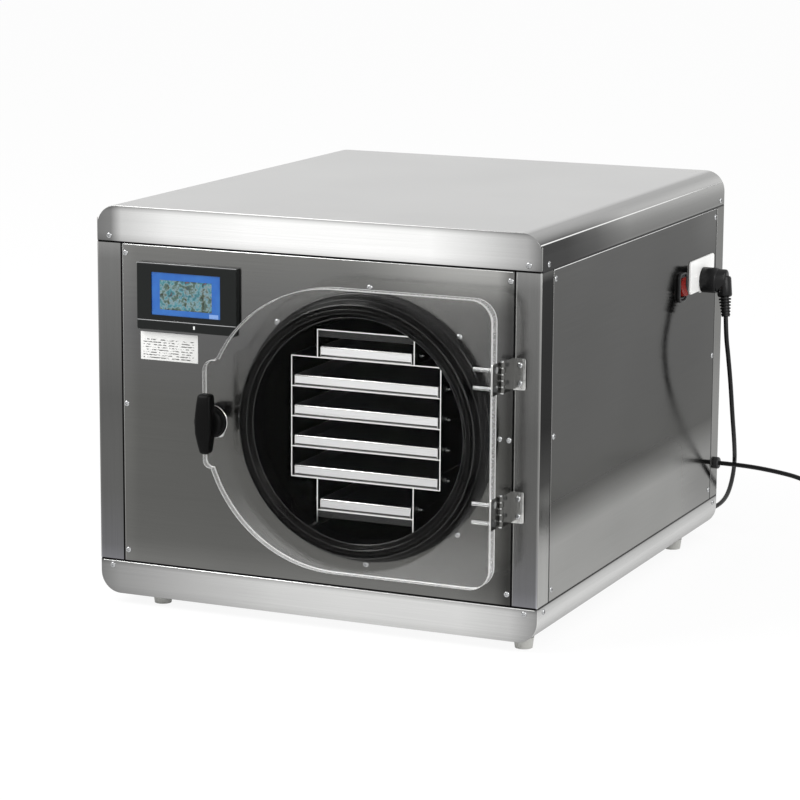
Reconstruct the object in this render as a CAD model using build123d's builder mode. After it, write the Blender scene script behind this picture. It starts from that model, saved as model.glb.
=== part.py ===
from build123d import *
import os
from math import cos, degrees, pi, radians, sin, sqrt, tan

os.makedirs("parts", exist_ok=True)

# A bench-top freeze dryer: a sheet-metal cabinet around a round vacuum chamber with a clear door.
# Millimetres. +Z is up, -Y is the front, +X is the right as seen from the front.
# The origin is the middle of the footprint's box, on the surface that the feet stand on.

# ---------------------------------------------------------------- driving sizes
# cabinet
cab_w = 660.0  # across, over the side panels
cab_d = 755.0  # front face to back face
shell_h = 550.0  # underside of the base tray to the top
foot_h = 15.0
sheet_t = 1.5
top_band_h = 50.0
base_band_h = 47.5
band_corner_r = 30.0
band_edge_r = 1.2
seam_gap = 1.6  # shadow line between neighbouring sheets
tab_h = 16.0  # how far the posts' inner angles reach up and down into the bands
post_edge_r = 2.0
front_post_w = 37.0
front_post_d = 39.0
rear_post_w = 37.0
rear_post_d = 34.0
ledge_w = 14.0  # set-back ledge that a panel is screwed to

# case screws
screw_r = 2.0
screw_head_r = 4.2
screw_head_h = 2.4
screw_len = 8.0
screw_in = 7.0  # from a panel's upright edge
band_screw_in = 19.0  # from the cabinet's corner
band_screw_rise = 7.5  # from a band's rim
low_screw_rise = 64.5  # above the underside of the base tray
mid_screw_sag = 1.5  # under the cabinet's mid height
top_screw_drop = 65.0  # under the cabinet's top

# feet
foot_r = 14.0
foot_top_r = 12.0
foot_from_left = 80.0
foot_from_right = 32.0
foot_from_front = 34.0
foot_from_rear = 112.0

# chamber
chamber_from_right = 246.0  # chamber's centre to the right-hand side
chamber_h = 274.0  # above the underside of the base tray
drum_r = 158.0  # inner radius
drum_t = 2.0
drum_rim = 28.0  # how far the rim stands out of the front panel
drum_len = 410.0  # behind the front face, outside the end plate
drum_end_t = 3.0
flange_r = 194.0
flange_t = 3.0
saddle_w = 210.0
saddle_t = 3.0
saddle_back = 10.0  # saddle to the drum's end
gasket_r = 183.0
gasket_inner_r = 153.0
gasket_h = 40.0
fit_gap = 0.3  # clearance of curved faces that don't slide
run_gap = 0.05  # radial clearance of a shaft in its bore

# chamber outside: evaporator, foam
evap_t = 6.0
evap_w = 14.0
evap_pitch = 60.0
evap_turns = 5
evap_start = 50.0
foam_t = 20.0
foam_front = 10.0
foam_back = 375.0

# flange screws
flange_bolt_count = 8
flange_bolt_edge = 5.7  # bolt circle to the flange's rim
flange_bolt_r = 2.5
flange_bolt_head_r = 4.6
flange_bolt_head_h = 3.2
nut_h = 3.5

# rack and trays
rack_front = 5.0  # how far the rack stands ahead of the front face
rack_len = 372.0
rack_t = 1.5
rack_wide = 220.0
rack_narrow = 143.0
rack_level_top = 91.7  # top of the highest shelf, above the chamber's centre
rack_pitch = 41.5
wide_trays = 4
rack_crown = 38.0  # head room over the highest shelf
low_shelf_drop = 43.5  # the lowest shelf under the wide part's floor
tray_gap = 3.0  # to the rack's wall, each side
tray_h = 14.5
tray_t = 1.0
tray_lip_r = 2.0
bar_h = 9.0  # dark cross bars at the rack's two ends
bar_t = 6.0
rack_bolt_r = 2.0
rack_bolt_rise = 10.6  # over the shelf
rack_bolt_setback = 14.0

# door
door_t = 20.0
door_left_r = 193.0
door_arc_x = 27.0  # centre of the left-hand arc, left of the chamber's centre
door_from_right = 45.5  # hinged edge to the right-hand side
door_corner_r = 30.0
door_edge_c = 0.8
ear_reach = 220.5  # latch ear's left edge, left of the chamber's centre
ear_top = 84.0
ear_bottom = 66.0
ear_top_r = 16.0
ear_bottom_r = 11.0

# hinges
hinge_rise = 89.5  # each hinge above or below the chamber's centre
leaf_h = 42.0
leaf_t = 2.0
barrel_r = 3.5
hinge_pin_r = 1.5
pin_head_r = 2.6
pin_head_h = 1.2
axis_ahead = 31.0  # hinge axis ahead of the front face
knuckle_gap = 0.4
knuckles = 5
leaf_notch = 1.0
post_leaf_w = 20.0
leaf_corner_r = 3.0
edge_bolt_r = 2.5
edge_bolt_len = 27.5
edge_bolt_rise = 12.4
edge_bolt_head_r = 4.6
edge_bolt_head_h = 1.6
leaf_screw_r = 2.0
leaf_screw_head_r = 3.9
leaf_screw_head_h = 2.4
leaf_screw_rise = 12.0

# latch
latch_reach = 205.0  # latch axis, left of the chamber's centre
spindle_r = 5.0
hub_r = 21.0
hub_len = 15.5
washer_r = 22.5
washer_t = 1.5
grip_h = 82.0
grip_top_w = 19.0
grip_w = 23.5
grip_low_w = 13.0
grip_d = 16.0
grip_end_d = 11.0
cam_len = 26.0
cam_w = 12.0
cam_t = 3.0
cam_clear = 9.0  # door's back face to the cam
cam_nut_h = 4.0
keeper_w = 22.0
keeper_t = 2.0
keeper_gap = 1.0  # cam to keeper lip, when latched
keeper_bite = 12.0
keeper_foot = 16.0

# touchscreen
screen_from_left = 142.6  # touchscreen's centre to the left-hand side
screen_from_top = 121.8
screen_w = 154.0
screen_tall = 92.0
screen_proud = 8.0
screen_depth = 28.0
screen_rim = 7.0  # overlap of the bezel on the panel
display_w = 106.0
display_tall = 59.5
display_x = -1.3
display_rise = 4.8
display_sink = 1.2
display_t = 3.0
chin_h = 14.0
chin_groove = 1.0

# right side: switch, outlet, gland
switch_from_rear = 195.0
switch_from_top = 150.0
switch_w = 27.0
switch_tall = 36.0
switch_proud = 2.5
switch_depth = 24.0
switch_body_w = 24.0
switch_body_tall = 33.0
switch_corner_r = 7.0
well_w = 20.8
well_tall = 29.6
well_depth = 12.0
rocker_tilt = 9.0
rocker_pivot = 4.0  # behind the side panel's face
rocker_out = 11.5  # crests, out from the pivot
rocker_dip = 3.5
rocker_pin_r = 1.5
outlet_from_rear = 105.0
outlet_from_top = 142.0
outlet_w = 108.0
outlet_tall = 49.0
outlet_t = 3.0
outlet_corner_r = 5.0
outlet_box_r = 20.0
outlet_depth = 22.0
lamp_ahead = 31.0  # ahead of the outlet plate's middle
lamp_r = 2.5
socket_behind = 2.0  # behind the outlet plate's middle
socket_drop = 9.0
pin_r = 2.4
pin_len = 16.0
pin_gap = 9.5
gland_from_rear = 11.5
gland_h = 101.0
gland_r = 9.0
gland_proud = 7.0
gland_nut_r = 9.5

# plugs
plug_r = 18.5
plug_base_t = 19.0
plug_taper = 8.0
plug_shoulder_r = 14.0
elbow_r = 9.0
elbow_x = 38.0  # from the side panel's face to the elbow's middle
relief_out = 44.0  # tip of the plug's relief, out from the side panel
relief_ahead = 12.0  # ahead of the socket's middle
relief_drop = 51.0  # under the socket's middle
relief_ribs = 5
relief_rib_pitch = 5.0
relief_r = 5.0
straight_plug_len = 34.0
relief_len = 26.0
connector_w = 27.0
connector_t = 21.0
connector_len = 38.0

# back: vacuum port, drain, fan
vacuum_x = -60.0  # from the chamber's centre
vacuum_rise = 90.0
vacuum_r = 14.0
vacuum_bore_r = 12.0
vacuum_proud = 40.0
vacuum_flange_r = 20.0
vacuum_flange_t = 5.0
drain_ahead = 24.0  # ahead of the drum's end plate
drain_drop = 46.0
drain_r = 8.0
drain_bore_r = 5.0
drain_bend_r = 20.0
valve_len = 36.0
valve_r = 13.0
valve_stand = 8.0
spigot_r = 6.0
spigot_len = 20.0
stem_r = 3.0
stem_h = 11.0
lever_len = 48.0
lever_w = 11.0
lever_t = 2.5
lever_head_r = 7.0
fan_from_right = 210.0
fan_h = 190.0
fan_r = 88.0
fan_ring_gap = 8.0
fan_blades = 5
fan_blade_t = 2.5
fan_blade_tilt = 28.0
fan_hub_r = 26.0
fan_depth = 22.0
fan_back = 32.0  # rotor's middle to the back face
motor_r = 30.0
motor_len = 30.0
motor_shaft_r = 4.0
motor_gap = 3.0
shroud_w = 230.0
shroud_tall = 220.0
shroud_len = 60.0
strut_w = 14.0
shroud_foot_w = 30.0
core_len = 44.0
core_fins = 14
core_fin_t = 3.0
core_plate_t = 4.0
grille_rings = 4
grille_slot = 6.0
louvre_w = 90.0
louvre_h = 12.0
louvre_proud = 4.0
louvre_t = 1.2
louvre_rows = 7
louvre_pitch = 24.0
louvre_cols = 2
louvre_col_pitch = 120.0
louvre_from_rear = 195.0
louvre_mid_h = 190.0
compressor_r = 72.0
compressor_tall = 175.0
compressor_from_left = 160.0
compressor_from_rear = 195.0
compressor_stand = 14.0

# cords
cord_d = 7.0
coil_mid_r = 41.0
coil_columns = 2
coil_layers = 3
supply_coil_x = 608.0
supply_coil_y = 699.5
pump_coil_x = 200.0
pump_coil_y = 817.0

# ---------------------------------------------------------------- datums
side_x = cab_w / 2
rocker_half = well_tall / 2 - 1.4
rocker_crest = rocker_out * cos(radians(rocker_tilt)) + rocker_half * sin(radians(rocker_tilt))
rocker_reach = rocker_crest - rocker_pivot
handle_reach = gasket_h + door_t + washer_t + hub_len + grip_d
back_reach = valve_stand + valve_len + spigot_len
mid_x = (louvre_proud - rocker_reach) / 2
front_y = handle_reach - (handle_reach + cab_d + back_reach) / 2
shell_z = foot_h
top_z = shell_z + shell_h
panel_screws = (low_screw_rise, shell_h / 2 - mid_screw_sag, shell_h - top_screw_drop)
chamber_x = side_x - chamber_from_right
flange_bolt_pcr = flange_r - flange_bolt_edge
door_left_x = chamber_x - door_arc_x
door_right_x = side_x - door_from_right
ear_x = ear_reach - chamber_x
latch_x = chamber_x - latch_reach
screen_x = screen_from_left - side_x
screen_h = shell_h - screen_from_top
switch_y = cab_d - switch_from_rear
switch_h = shell_h - switch_from_top
outlet_y = cab_d - outlet_from_rear
outlet_h = shell_h - outlet_from_top
socket_y = outlet_y + socket_behind
socket_h = outlet_h - socket_drop
gland_y = cab_d - gland_from_rear
drain_y = drum_len - drain_ahead
fan_x = side_x - fan_from_right
louvre_y = cab_d - louvre_from_rear
compressor_x = compressor_from_left - side_x
compressor_y = cab_d - compressor_from_rear
post_z = shell_z + base_band_h + seam_gap
post_h = shell_h - base_band_h - top_band_h - 2 * seam_gap
panel_mid_z = post_z + post_h / 2
floor_z = shell_z + sheet_t
chamber_z = shell_z + chamber_h
drum_out_r = drum_r + drum_t

front = Plane(origin=(mid_x, front_y, 0), x_dir=(1, 0, 0), z_dir=(0, -1, 0))
back = Plane(origin=(mid_x, front_y + cab_d, 0), x_dir=(-1, 0, 0), z_dir=(0, 1, 0))
right = Plane(origin=(mid_x + side_x, front_y, 0), x_dir=(0, 1, 0), z_dir=(1, 0, 0))
left = Plane(origin=(mid_x - side_x, front_y, 0), x_dir=(0, -1, 0), z_dir=(-1, 0, 0))
bore = Plane(origin=(mid_x + chamber_x, front_y, chamber_z), x_dir=(1, 0, 0), z_dir=(0, -1, 0))
bore_section = Plane(origin=(mid_x + chamber_x, front_y, chamber_z), x_dir=(1, 0, 0), z_dir=(0, 0, 1))
bore_axis = Axis((mid_x + chamber_x, front_y, chamber_z), (0, 1, 0))
latch = Plane(origin=(mid_x + latch_x, front_y, chamber_z), x_dir=(1, 0, 0), z_dir=(0, -1, 0))
fan = Plane(origin=(mid_x + fan_x, front_y + cab_d, shell_z + fan_h), x_dir=(-1, 0, 0), z_dir=(0, 1, 0))


def plan(z):
    """Looking down: x from the cabinet's middle, y from its front face."""
    return Plane(origin=(mid_x, front_y, z))


def spot(x, y, z):
    """A point, from the cabinet's middle, its front face and the underside of the base tray."""
    return (mid_x + x, front_y + y, shell_z + z)


def keep(builder, label):
    """Labels a finished piece and writes it."""
    builder.part.label = label
    export_step(builder.part, f"parts/{label}.step")


# ---------------------------------------------------------------- cabinet
band_rises = (base_band_h - band_screw_rise, shell_h - top_band_h + band_screw_rise)
front_column = side_x - front_post_w - seam_gap - screw_in + 1.5
panel_spots = [(x, shell_z + z) for x in (-front_column, front_column) for z in panel_screws]
corner_x = side_x - band_screw_in
corner_spots = [(x, shell_z + z) for x in (-corner_x, corner_x) for z in band_rises]
side_columns = (front_post_d + 10, cab_d - rear_post_d - 8)
band_columns = (band_screw_in + 4, cab_d - band_screw_in)
side_spots = [(y, shell_z + z) for y in side_columns for z in panel_screws]
side_spots += [(y, shell_z + z) for y in band_columns for z in band_rises]
left_spots = [(-y, z) for y, z in side_spots]
screw_rows = ((front, panel_spots + corner_spots), (back, panel_spots + corner_spots),
              (right, side_spots), (left, left_spots))


def drill():
    """Cuts the holes of the case screws that cross the piece being built."""
    for face, spots in screw_rows:
        with BuildSketch(face) as holes:
            with Locations(*spots):
                Circle(screw_r)
        extrude(holes.sketch, amount=-screw_len, mode=Mode.SUBTRACT)


def band(low, high, crown, label):
    """One folded cover, open towards the panels and rounded along its outer long edges."""
    open_z = low if crown > 0 else high
    with BuildPart() as cover:
        with BuildSketch(front) as outside:
            with Locations((0, (low + high) / 2)):
                Rectangle(cab_w, high - low)
            fillet(outside.vertices().group_by(Axis.Y)[-1 if crown > 0 else 0], band_corner_r)
        extrude(amount=-cab_d)
        rims = cover.edges().filter_by(lambda e: abs(e.center().Z - open_z) > 0.5)
        fillet(rims.group_by(Axis.Y)[0] + rims.group_by(Axis.Y)[-1], band_edge_r)
        with BuildSketch(front.offset(-sheet_t)) as inside:
            with Locations((0, (low + high) / 2 - crown * sheet_t)):
                Rectangle(cab_w - 2 * sheet_t, high - low)
            fillet(inside.vertices().group_by(Axis.Y)[-1 if crown > 0 else 0], band_corner_r - sheet_t)
        extrude(amount=-(cab_d - 2 * sheet_t), mode=Mode.SUBTRACT)
        drill()
    keep(cover, label)


band(top_z - top_band_h, top_z, 1, "top_cover")
band(shell_z, shell_z + base_band_h, -1, "base_tray")


def corner_post(side, rear, label):
    """An outer angle between the bands, on an inner angle that carries the panels."""
    wide = rear_post_w if rear else front_post_w
    deep = rear_post_d if rear else front_post_d
    t = sheet_t
    outer = [(0, 0), (wide, 0), (wide, t), (t, t), (t, deep), (0, deep)]
    inner = [(t, t), (wide + ledge_w, t), (wide + ledge_w, 2 * t), (2 * t, 2 * t), (2 * t, deep + ledge_w),
             (t, deep + ledge_w)]
    with BuildPart() as post:
        for outline, low, tall in ((outer, post_z, post_h), (inner, post_z - tab_h, post_h + 2 * tab_h)):
            placed = [(side * (side_x - u), cab_d - v if rear else v) for u, v in outline]
            with BuildSketch(plan(low)):
                with BuildLine():
                    Polyline(*placed, close=True)
                make_face()
            extrude(amount=tall)
            if outline is outer:
                corner = (mid_x + side * side_x, front_y + (cab_d if rear else 0), panel_mid_z)
                fillet(post.edges().filter_by(Axis.Z).sort_by_distance(corner)[0], post_edge_r / 2)
        drill()
        if side > 0 and rear:
            with BuildSketch(right) as way:
                with Locations((gland_y, shell_z + gland_h)):
                    Circle(gland_r - 2.5)
            extrude(way.sketch, amount=-3 * sheet_t, mode=Mode.SUBTRACT)
    keep(post, label)


corner_post(-1, False, "front_left_post")
corner_post(1, False, "front_right_post")
corner_post(-1, True, "rear_left_post")
corner_post(1, True, "rear_right_post")

with BuildPart() as front_panel:
    with BuildSketch(front):
        with Locations((0, panel_mid_z)):
            Rectangle(cab_w - 2 * front_post_w - 2 * seam_gap, post_h)
        with Locations((chamber_x, chamber_z)):
            Circle(drum_out_r + 1, mode=Mode.SUBTRACT)
        with Locations((chamber_x, chamber_z)):
            with PolarLocations(flange_bolt_pcr, flange_bolt_count):
                Circle(flange_bolt_r + run_gap, mode=Mode.SUBTRACT)
        with Locations((screen_x, shell_z + screen_h)):
            Rectangle(screen_w - 2 * screen_rim, screen_tall - 2 * screen_rim, mode=Mode.SUBTRACT)
    extrude(amount=-sheet_t)
    drill()
keep(front_panel, "front_panel")

side_panel_len = cab_d - front_post_d - rear_post_d - 2 * seam_gap
side_panel_mid = front_post_d + seam_gap + side_panel_len / 2
with BuildPart() as right_panel:
    with BuildSketch(right):
        with Locations((side_panel_mid, panel_mid_z)):
            Rectangle(side_panel_len, post_h)
        with Locations((switch_y, shell_z + switch_h)):
            Rectangle(switch_body_w, switch_body_tall, mode=Mode.SUBTRACT)
        with Locations((socket_y, shell_z + socket_h)):
            Circle(outlet_box_r, mode=Mode.SUBTRACT)
    extrude(amount=-sheet_t)
    drill()
keep(right_panel, "right_side_panel")

with BuildPart() as left_panel:
    with BuildSketch(left):
        with Locations((-side_panel_mid, panel_mid_z)):
            Rectangle(side_panel_len, post_h)
    extrude(amount=-sheet_t)
    for col in range(louvre_cols):
        col_y = front_y + louvre_y + (col - (louvre_cols - 1) / 2) * louvre_col_pitch
        louvre_side = Plane(
            origin=(mid_x - side_x, col_y, shell_z + louvre_mid_h), x_dir=(-1, 0, 0), z_dir=(0, 1, 0)
        )
        with BuildSketch(louvre_side):
            with GridLocations(0, louvre_pitch, 1, louvre_rows):
                Polygon(
                    (-sheet_t, louvre_h), (0, louvre_h), (louvre_proud, 0), (-sheet_t, 0), align=None
                )
        extrude(amount=louvre_w / 2, both=True)
        with BuildSketch(louvre_side):
            with GridLocations(0, louvre_pitch, 1, louvre_rows):
                Polygon(
                    (-sheet_t, louvre_h - 3 * louvre_t), (0, louvre_h - 3 * louvre_t),
                    (louvre_proud - louvre_t, 0), (-sheet_t, 0), align=None,
                )
        extrude(amount=louvre_w / 2 - louvre_t, both=True, mode=Mode.SUBTRACT)
    drill()
keep(left_panel, "left_side_panel")

with BuildPart() as back_panel:
    with BuildSketch(back):
        with Locations((0, panel_mid_z)):
            Rectangle(cab_w - 2 * rear_post_w - 2 * seam_gap, post_h)
        with Locations((-(chamber_x + vacuum_x), chamber_z + vacuum_rise)):
            Circle(vacuum_r + fit_gap, mode=Mode.SUBTRACT)
        with Locations((-chamber_x, chamber_z - drum_out_r - drain_drop)):
            Circle(drain_r + fit_gap, mode=Mode.SUBTRACT)
    extrude(amount=-sheet_t)
    ring_pitch = (fan_r - fan_hub_r) / grille_rings
    for ring in range(grille_rings):
        mid_r = fan_hub_r + (ring + 0.5) * ring_pitch
        with BuildSketch(fan):
            Circle(mid_r + grille_slot / 2)
            Circle(mid_r - grille_slot / 2, mode=Mode.SUBTRACT)
            with PolarLocations(0, 2):
                Rectangle(2 * fan_r + 20, grille_slot, mode=Mode.SUBTRACT)
            Rectangle(grille_slot, 2 * fan_r + 20, mode=Mode.SUBTRACT)
        extrude(amount=-sheet_t, mode=Mode.SUBTRACT)
    drill()
keep(back_panel, "back_panel")

foot_columns = (foot_from_left - side_x, side_x - foot_from_right)
foot_rows = (foot_from_front, cab_d - foot_from_rear)
foot_spots = [(x, y) for x in foot_columns for y in foot_rows]
with BuildPart() as feet:
    with BuildSketch(plan(0)):
        with Locations(*foot_spots):
            Circle(foot_top_r)
    extrude(amount=foot_h, taper=-degrees((foot_r - foot_top_r) / foot_h))
keep(feet, "feet")

with BuildPart() as case_screws:
    for face, spots in screw_rows:
        with BuildSketch(face):
            with Locations(*spots):
                Circle(screw_head_r)
        extrude(amount=screw_head_h)
        with BuildSketch(face):
            with Locations(*spots):
                Circle(screw_r)
        extrude(amount=-screw_len)
keep(case_screws, "case_screws")

# ---------------------------------------------------------------- chamber
with BuildPart() as drum:
    with BuildSketch(bore_section):
        with Locations((drum_r, -drum_rim)):
            Rectangle(drum_t, drum_rim + drum_len, align=(Align.MIN, Align.MIN))
        with Locations((drum_r, sheet_t)):
            Rectangle(flange_r - drum_r, flange_t, align=(Align.MIN, Align.MIN))
        with Locations((0, drum_len - drum_end_t)):
            Rectangle(drum_out_r, drum_end_t, align=(Align.MIN, Align.MIN))
    revolve(axis=bore_axis)
    with BuildSketch(bore.offset(-(drum_len - saddle_back))):
        with Locations((0, floor_z - chamber_z)):
            Rectangle(saddle_w, chamber_z - floor_z - drum_r / 2, align=(Align.CENTER, Align.MIN))
        Circle(drum_r + drum_t / 2, mode=Mode.SUBTRACT)
        with Locations((0, -drum_out_r - drain_drop)):
            Circle(drain_r + 8, mode=Mode.SUBTRACT)
    extrude(amount=saddle_t)
    with BuildSketch(bore):
        with PolarLocations(flange_bolt_pcr, flange_bolt_count):
            Circle(flange_bolt_r + run_gap)
    extrude(amount=-(sheet_t + flange_t), mode=Mode.SUBTRACT)
    with BuildSketch(bore.offset(-drum_len)):
        with Locations((vacuum_x, vacuum_rise)):
            Circle(vacuum_bore_r)
    extrude(amount=drum_end_t, mode=Mode.SUBTRACT)
    with BuildSketch(plan(chamber_z)):
        with Locations((chamber_x, drain_y)):
            Circle(drain_bore_r)
    extrude(amount=-(drum_out_r + 5), mode=Mode.SUBTRACT)
keep(drum, "chamber_drum")

with BuildPart() as gasket:
    crest_y = -gasket_h + fit_gap
    with BuildSketch(bore_section):
        with BuildLine():
            Polyline(
                (gasket_inner_r, -rack_front - 1), (gasket_inner_r, crest_y + 8),
                (gasket_inner_r + 8, crest_y),
                (gasket_r - 13, crest_y), (gasket_r - 11, crest_y + 2), (gasket_r - 3, -gasket_h / 2),
                (gasket_r, -gasket_h / 5), (gasket_r, 0), (drum_out_r + fit_gap, 0),
                (drum_out_r + fit_gap, -drum_rim - fit_gap), (drum_r - fit_gap, -drum_rim - fit_gap),
                (drum_r - fit_gap, -rack_front - 1), close=True,
            )
        make_face()
        with Locations(((gasket_inner_r + gasket_r) / 2 - 1, crest_y)):
            Rectangle(3, 3, mode=Mode.SUBTRACT)
    revolve(axis=bore_axis)
keep(gasket, "door_gasket")

with BuildPart() as foam:
    with BuildSketch(bore_section):
        with Locations((drum_out_r + evap_t, foam_front)):
            Rectangle(foam_t, foam_back - foam_front, align=(Align.MIN, Align.MIN))
    revolve(axis=bore_axis)
keep(foam, "chamber_insulation")

with BuildPart() as evaporator:
    with BuildSketch(bore_section):
        for turn in range(evap_turns):
            with Locations((drum_out_r, evap_start + turn * evap_pitch)):
                Rectangle(evap_t, evap_w, align=(Align.MIN, Align.MIN))
    revolve(axis=bore_axis)
    with BuildSketch(plan(chamber_z)):
        with Locations((chamber_x + drum_out_r, evap_start)):
            Rectangle(evap_t / 2, (evap_turns - 1) * evap_pitch + evap_w, align=(Align.MIN, Align.MIN))
    extrude(amount=evap_w, both=True)
    with BuildSketch(bore):
        Circle(drum_out_r)
    extrude(amount=-drum_len, mode=Mode.SUBTRACT)
keep(evaporator, "evaporator_coil")

with BuildPart() as flange_screws:
    with BuildSketch(bore):
        with PolarLocations(flange_bolt_pcr, flange_bolt_count):
            Circle(flange_bolt_head_r)
    extrude(amount=flange_bolt_head_h)
    chamfer(flange_screws.edges().filter_by(GeomType.CIRCLE).group_by(Axis.Y)[0], flange_bolt_head_h * 0.45)
    with BuildSketch(bore):
        with PolarLocations(flange_bolt_pcr, flange_bolt_count):
            Circle(flange_bolt_r)
    extrude(amount=-(sheet_t + flange_t + nut_h))
    with BuildSketch(bore.offset(-(sheet_t + flange_t))):
        with PolarLocations(flange_bolt_pcr, flange_bolt_count):
            RegularPolygon(flange_bolt_head_r - 0.2, 6)
    extrude(amount=-nut_h)
keep(flange_screws, "flange_screws")

# ---------------------------------------------------------------- rack and trays
rack = bore.offset(rack_front)
wide_floor = rack_level_top - wide_trays * rack_pitch
low_shelf = wide_floor - low_shelf_drop
leg_end = -sqrt((drum_r - fit_gap) ** 2 - (rack_narrow / 2) ** 2)
crown_top = rack_level_top + rack_crown
bar_tops = (crown_top - rack_t, low_shelf - rack_t)
levels = [("tray_1", rack_narrow, rack_level_top)]
for number in range(1, wide_trays + 1):
    levels.append((f"tray_{number + 1}", rack_wide, rack_level_top - number * rack_pitch))
levels.append((f"tray_{wide_trays + 2}", rack_narrow, low_shelf))


def rack_bolt_spot(top):
    """Where the bolts of a shelf cross the chamber's middle plane."""
    setback = rack_bolt_setback - rack_front
    return (mid_x + chamber_x, front_y + setback, chamber_z + top + rack_bolt_rise)


with BuildPart() as rack_frame:
    with BuildSketch(rack):
        with Locations((0, (rack_level_top + wide_floor - rack_t) / 2)):
            Rectangle(rack_wide, rack_level_top - wide_floor + rack_t)
            Rectangle(rack_wide - 2 * rack_t, rack_level_top - wide_floor - rack_t, mode=Mode.SUBTRACT)
        for shelf in range(1, wide_trays):
            with Locations((0, rack_level_top - shelf * rack_pitch - rack_t / 2)):
                Rectangle(rack_wide - rack_t, rack_t)
        for side in (-1, 1):
            with Locations((side * (rack_narrow - rack_t) / 2, rack_level_top - rack_t / 2)):
                Rectangle(rack_t, rack_crown + rack_t / 2, align=(Align.CENTER, Align.MIN))
            with Locations((side * (rack_narrow - rack_t) / 2, wide_floor - rack_t / 2)):
                Rectangle(rack_t, wide_floor - rack_t / 2 - leg_end, align=(Align.CENTER, Align.MAX))
        with Locations((0, crown_top - rack_t / 2), (0, low_shelf - rack_t / 2)):
            Rectangle(rack_narrow - rack_t, rack_t)
    extrude(amount=-rack_len)
    for label, reach, top in levels:
        with BuildSketch(Plane(origin=rack_bolt_spot(top), z_dir=(1, 0, 0))):
            Circle(rack_bolt_r + run_gap)
        extrude(amount=reach / 2 + 1, both=True, mode=Mode.SUBTRACT)
keep(rack_frame, "rack_frame")

tray_len = rack_len - 14
for label, reach, top in levels:
    tray_w = reach - 2 * rack_t - 2 * tray_gap
    with BuildPart() as tray:
        with BuildSketch(
            Plane(origin=(mid_x + chamber_x, front_y - rack_front + 1 + tray_len / 2, chamber_z + top))
        ):
            RectangleRounded(tray_w, tray_len, tray_lip_r)
        extrude(amount=tray_h)
        offset(amount=-tray_t, openings=tray.faces().sort_by(Axis.Z)[-1])
    keep(tray, label)

with BuildPart() as cross_bars:
    for bar_top in bar_tops:
        for setback in (0, rack_len - bar_t):
            with BuildSketch(rack.offset(-setback)):
                with Locations((0, bar_top)):
                    Rectangle(rack_narrow - 2 * rack_t, bar_h, align=(Align.CENTER, Align.MAX))
            extrude(amount=-bar_t)
keep(cross_bars, "rack_cross_bars")

with BuildPart() as rack_bolts:
    for label, reach, top in levels:
        for side in (-1, 1):
            bolt_spot = rack_bolt_spot(top)
            wall = Plane(origin=bolt_spot, x_dir=(0, side, 0), z_dir=(side, 0, 0)).offset(reach / 2)
            with BuildSketch(wall):
                RegularPolygon(2 * rack_bolt_r, 6)
            extrude(amount=3)
            with BuildSketch(wall.offset(-rack_t)):
                Circle(rack_bolt_r)
            extrude(amount=rack_t + 7)
            with BuildSketch(wall.offset(-rack_t)):
                Circle(1.7 * rack_bolt_r)
            extrude(amount=-1.4)
keep(rack_bolts, "rack_bolts")

# ---------------------------------------------------------------- door
door_front = gasket_h + door_t
edge_mid = gasket_h + door_t / 2
hinge_x = door_right_x + barrel_r
hinge_levels = {"upper": chamber_z + hinge_rise, "lower": chamber_z - hinge_rise}


def door_edge(level):
    """The door's right edge at one hinge: x towards the back, y up."""
    return Plane(origin=(mid_x + door_right_x, front_y - edge_mid, level), x_dir=(0, 1, 0), z_dir=(1, 0, 0))


with BuildPart() as door:
    with BuildSketch(front.offset(gasket_h)) as door_outline:
        with Locations((door_left_x, chamber_z)):
            Circle(door_left_r)
            Rectangle(door_right_x - door_left_x, 2 * door_left_r, align=(Align.MIN, Align.CENTER))
        fillet(door_outline.vertices().group_by(Axis.X)[-1], door_corner_r)
        with Locations((-ear_x, chamber_z - ear_bottom)):
            Rectangle(70, ear_top + ear_bottom, align=(Align.MIN, Align.MIN))
        ear_corners = door_outline.vertices().group_by(Axis.X)[0].sort_by(Axis.Y)
        fillet(ear_corners[-1], ear_top_r)
        fillet(door_outline.vertices().group_by(Axis.X)[0].sort_by(Axis.Y)[0], ear_bottom_r)
    extrude(amount=door_t)
    chamfer(door.edges().group_by(Axis.Y)[0], door_edge_c)
    chamfer(door.edges().group_by(Axis.Y)[-1], door_edge_c)
    with BuildSketch(latch.offset(gasket_h)):
        Circle(spindle_r + run_gap)
    extrude(amount=door_t, mode=Mode.SUBTRACT)
    for level in hinge_levels.values():
        with BuildSketch(door_edge(level)):
            with GridLocations(0, 2 * edge_bolt_rise, 1, 2):
                Circle(edge_bolt_r + run_gap)
        extrude(amount=-edge_bolt_len, mode=Mode.SUBTRACT)
keep(door, "door_plate")

# ---------------------------------------------------------------- hinges
segment_h = (leaf_h - (knuckles - 1) * knuckle_gap) / knuckles
notch = barrel_r + leaf_notch
bent_x = hinge_x + barrel_r - leaf_t
leaf_screw_x = bent_x + post_leaf_w - 8.5


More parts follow.
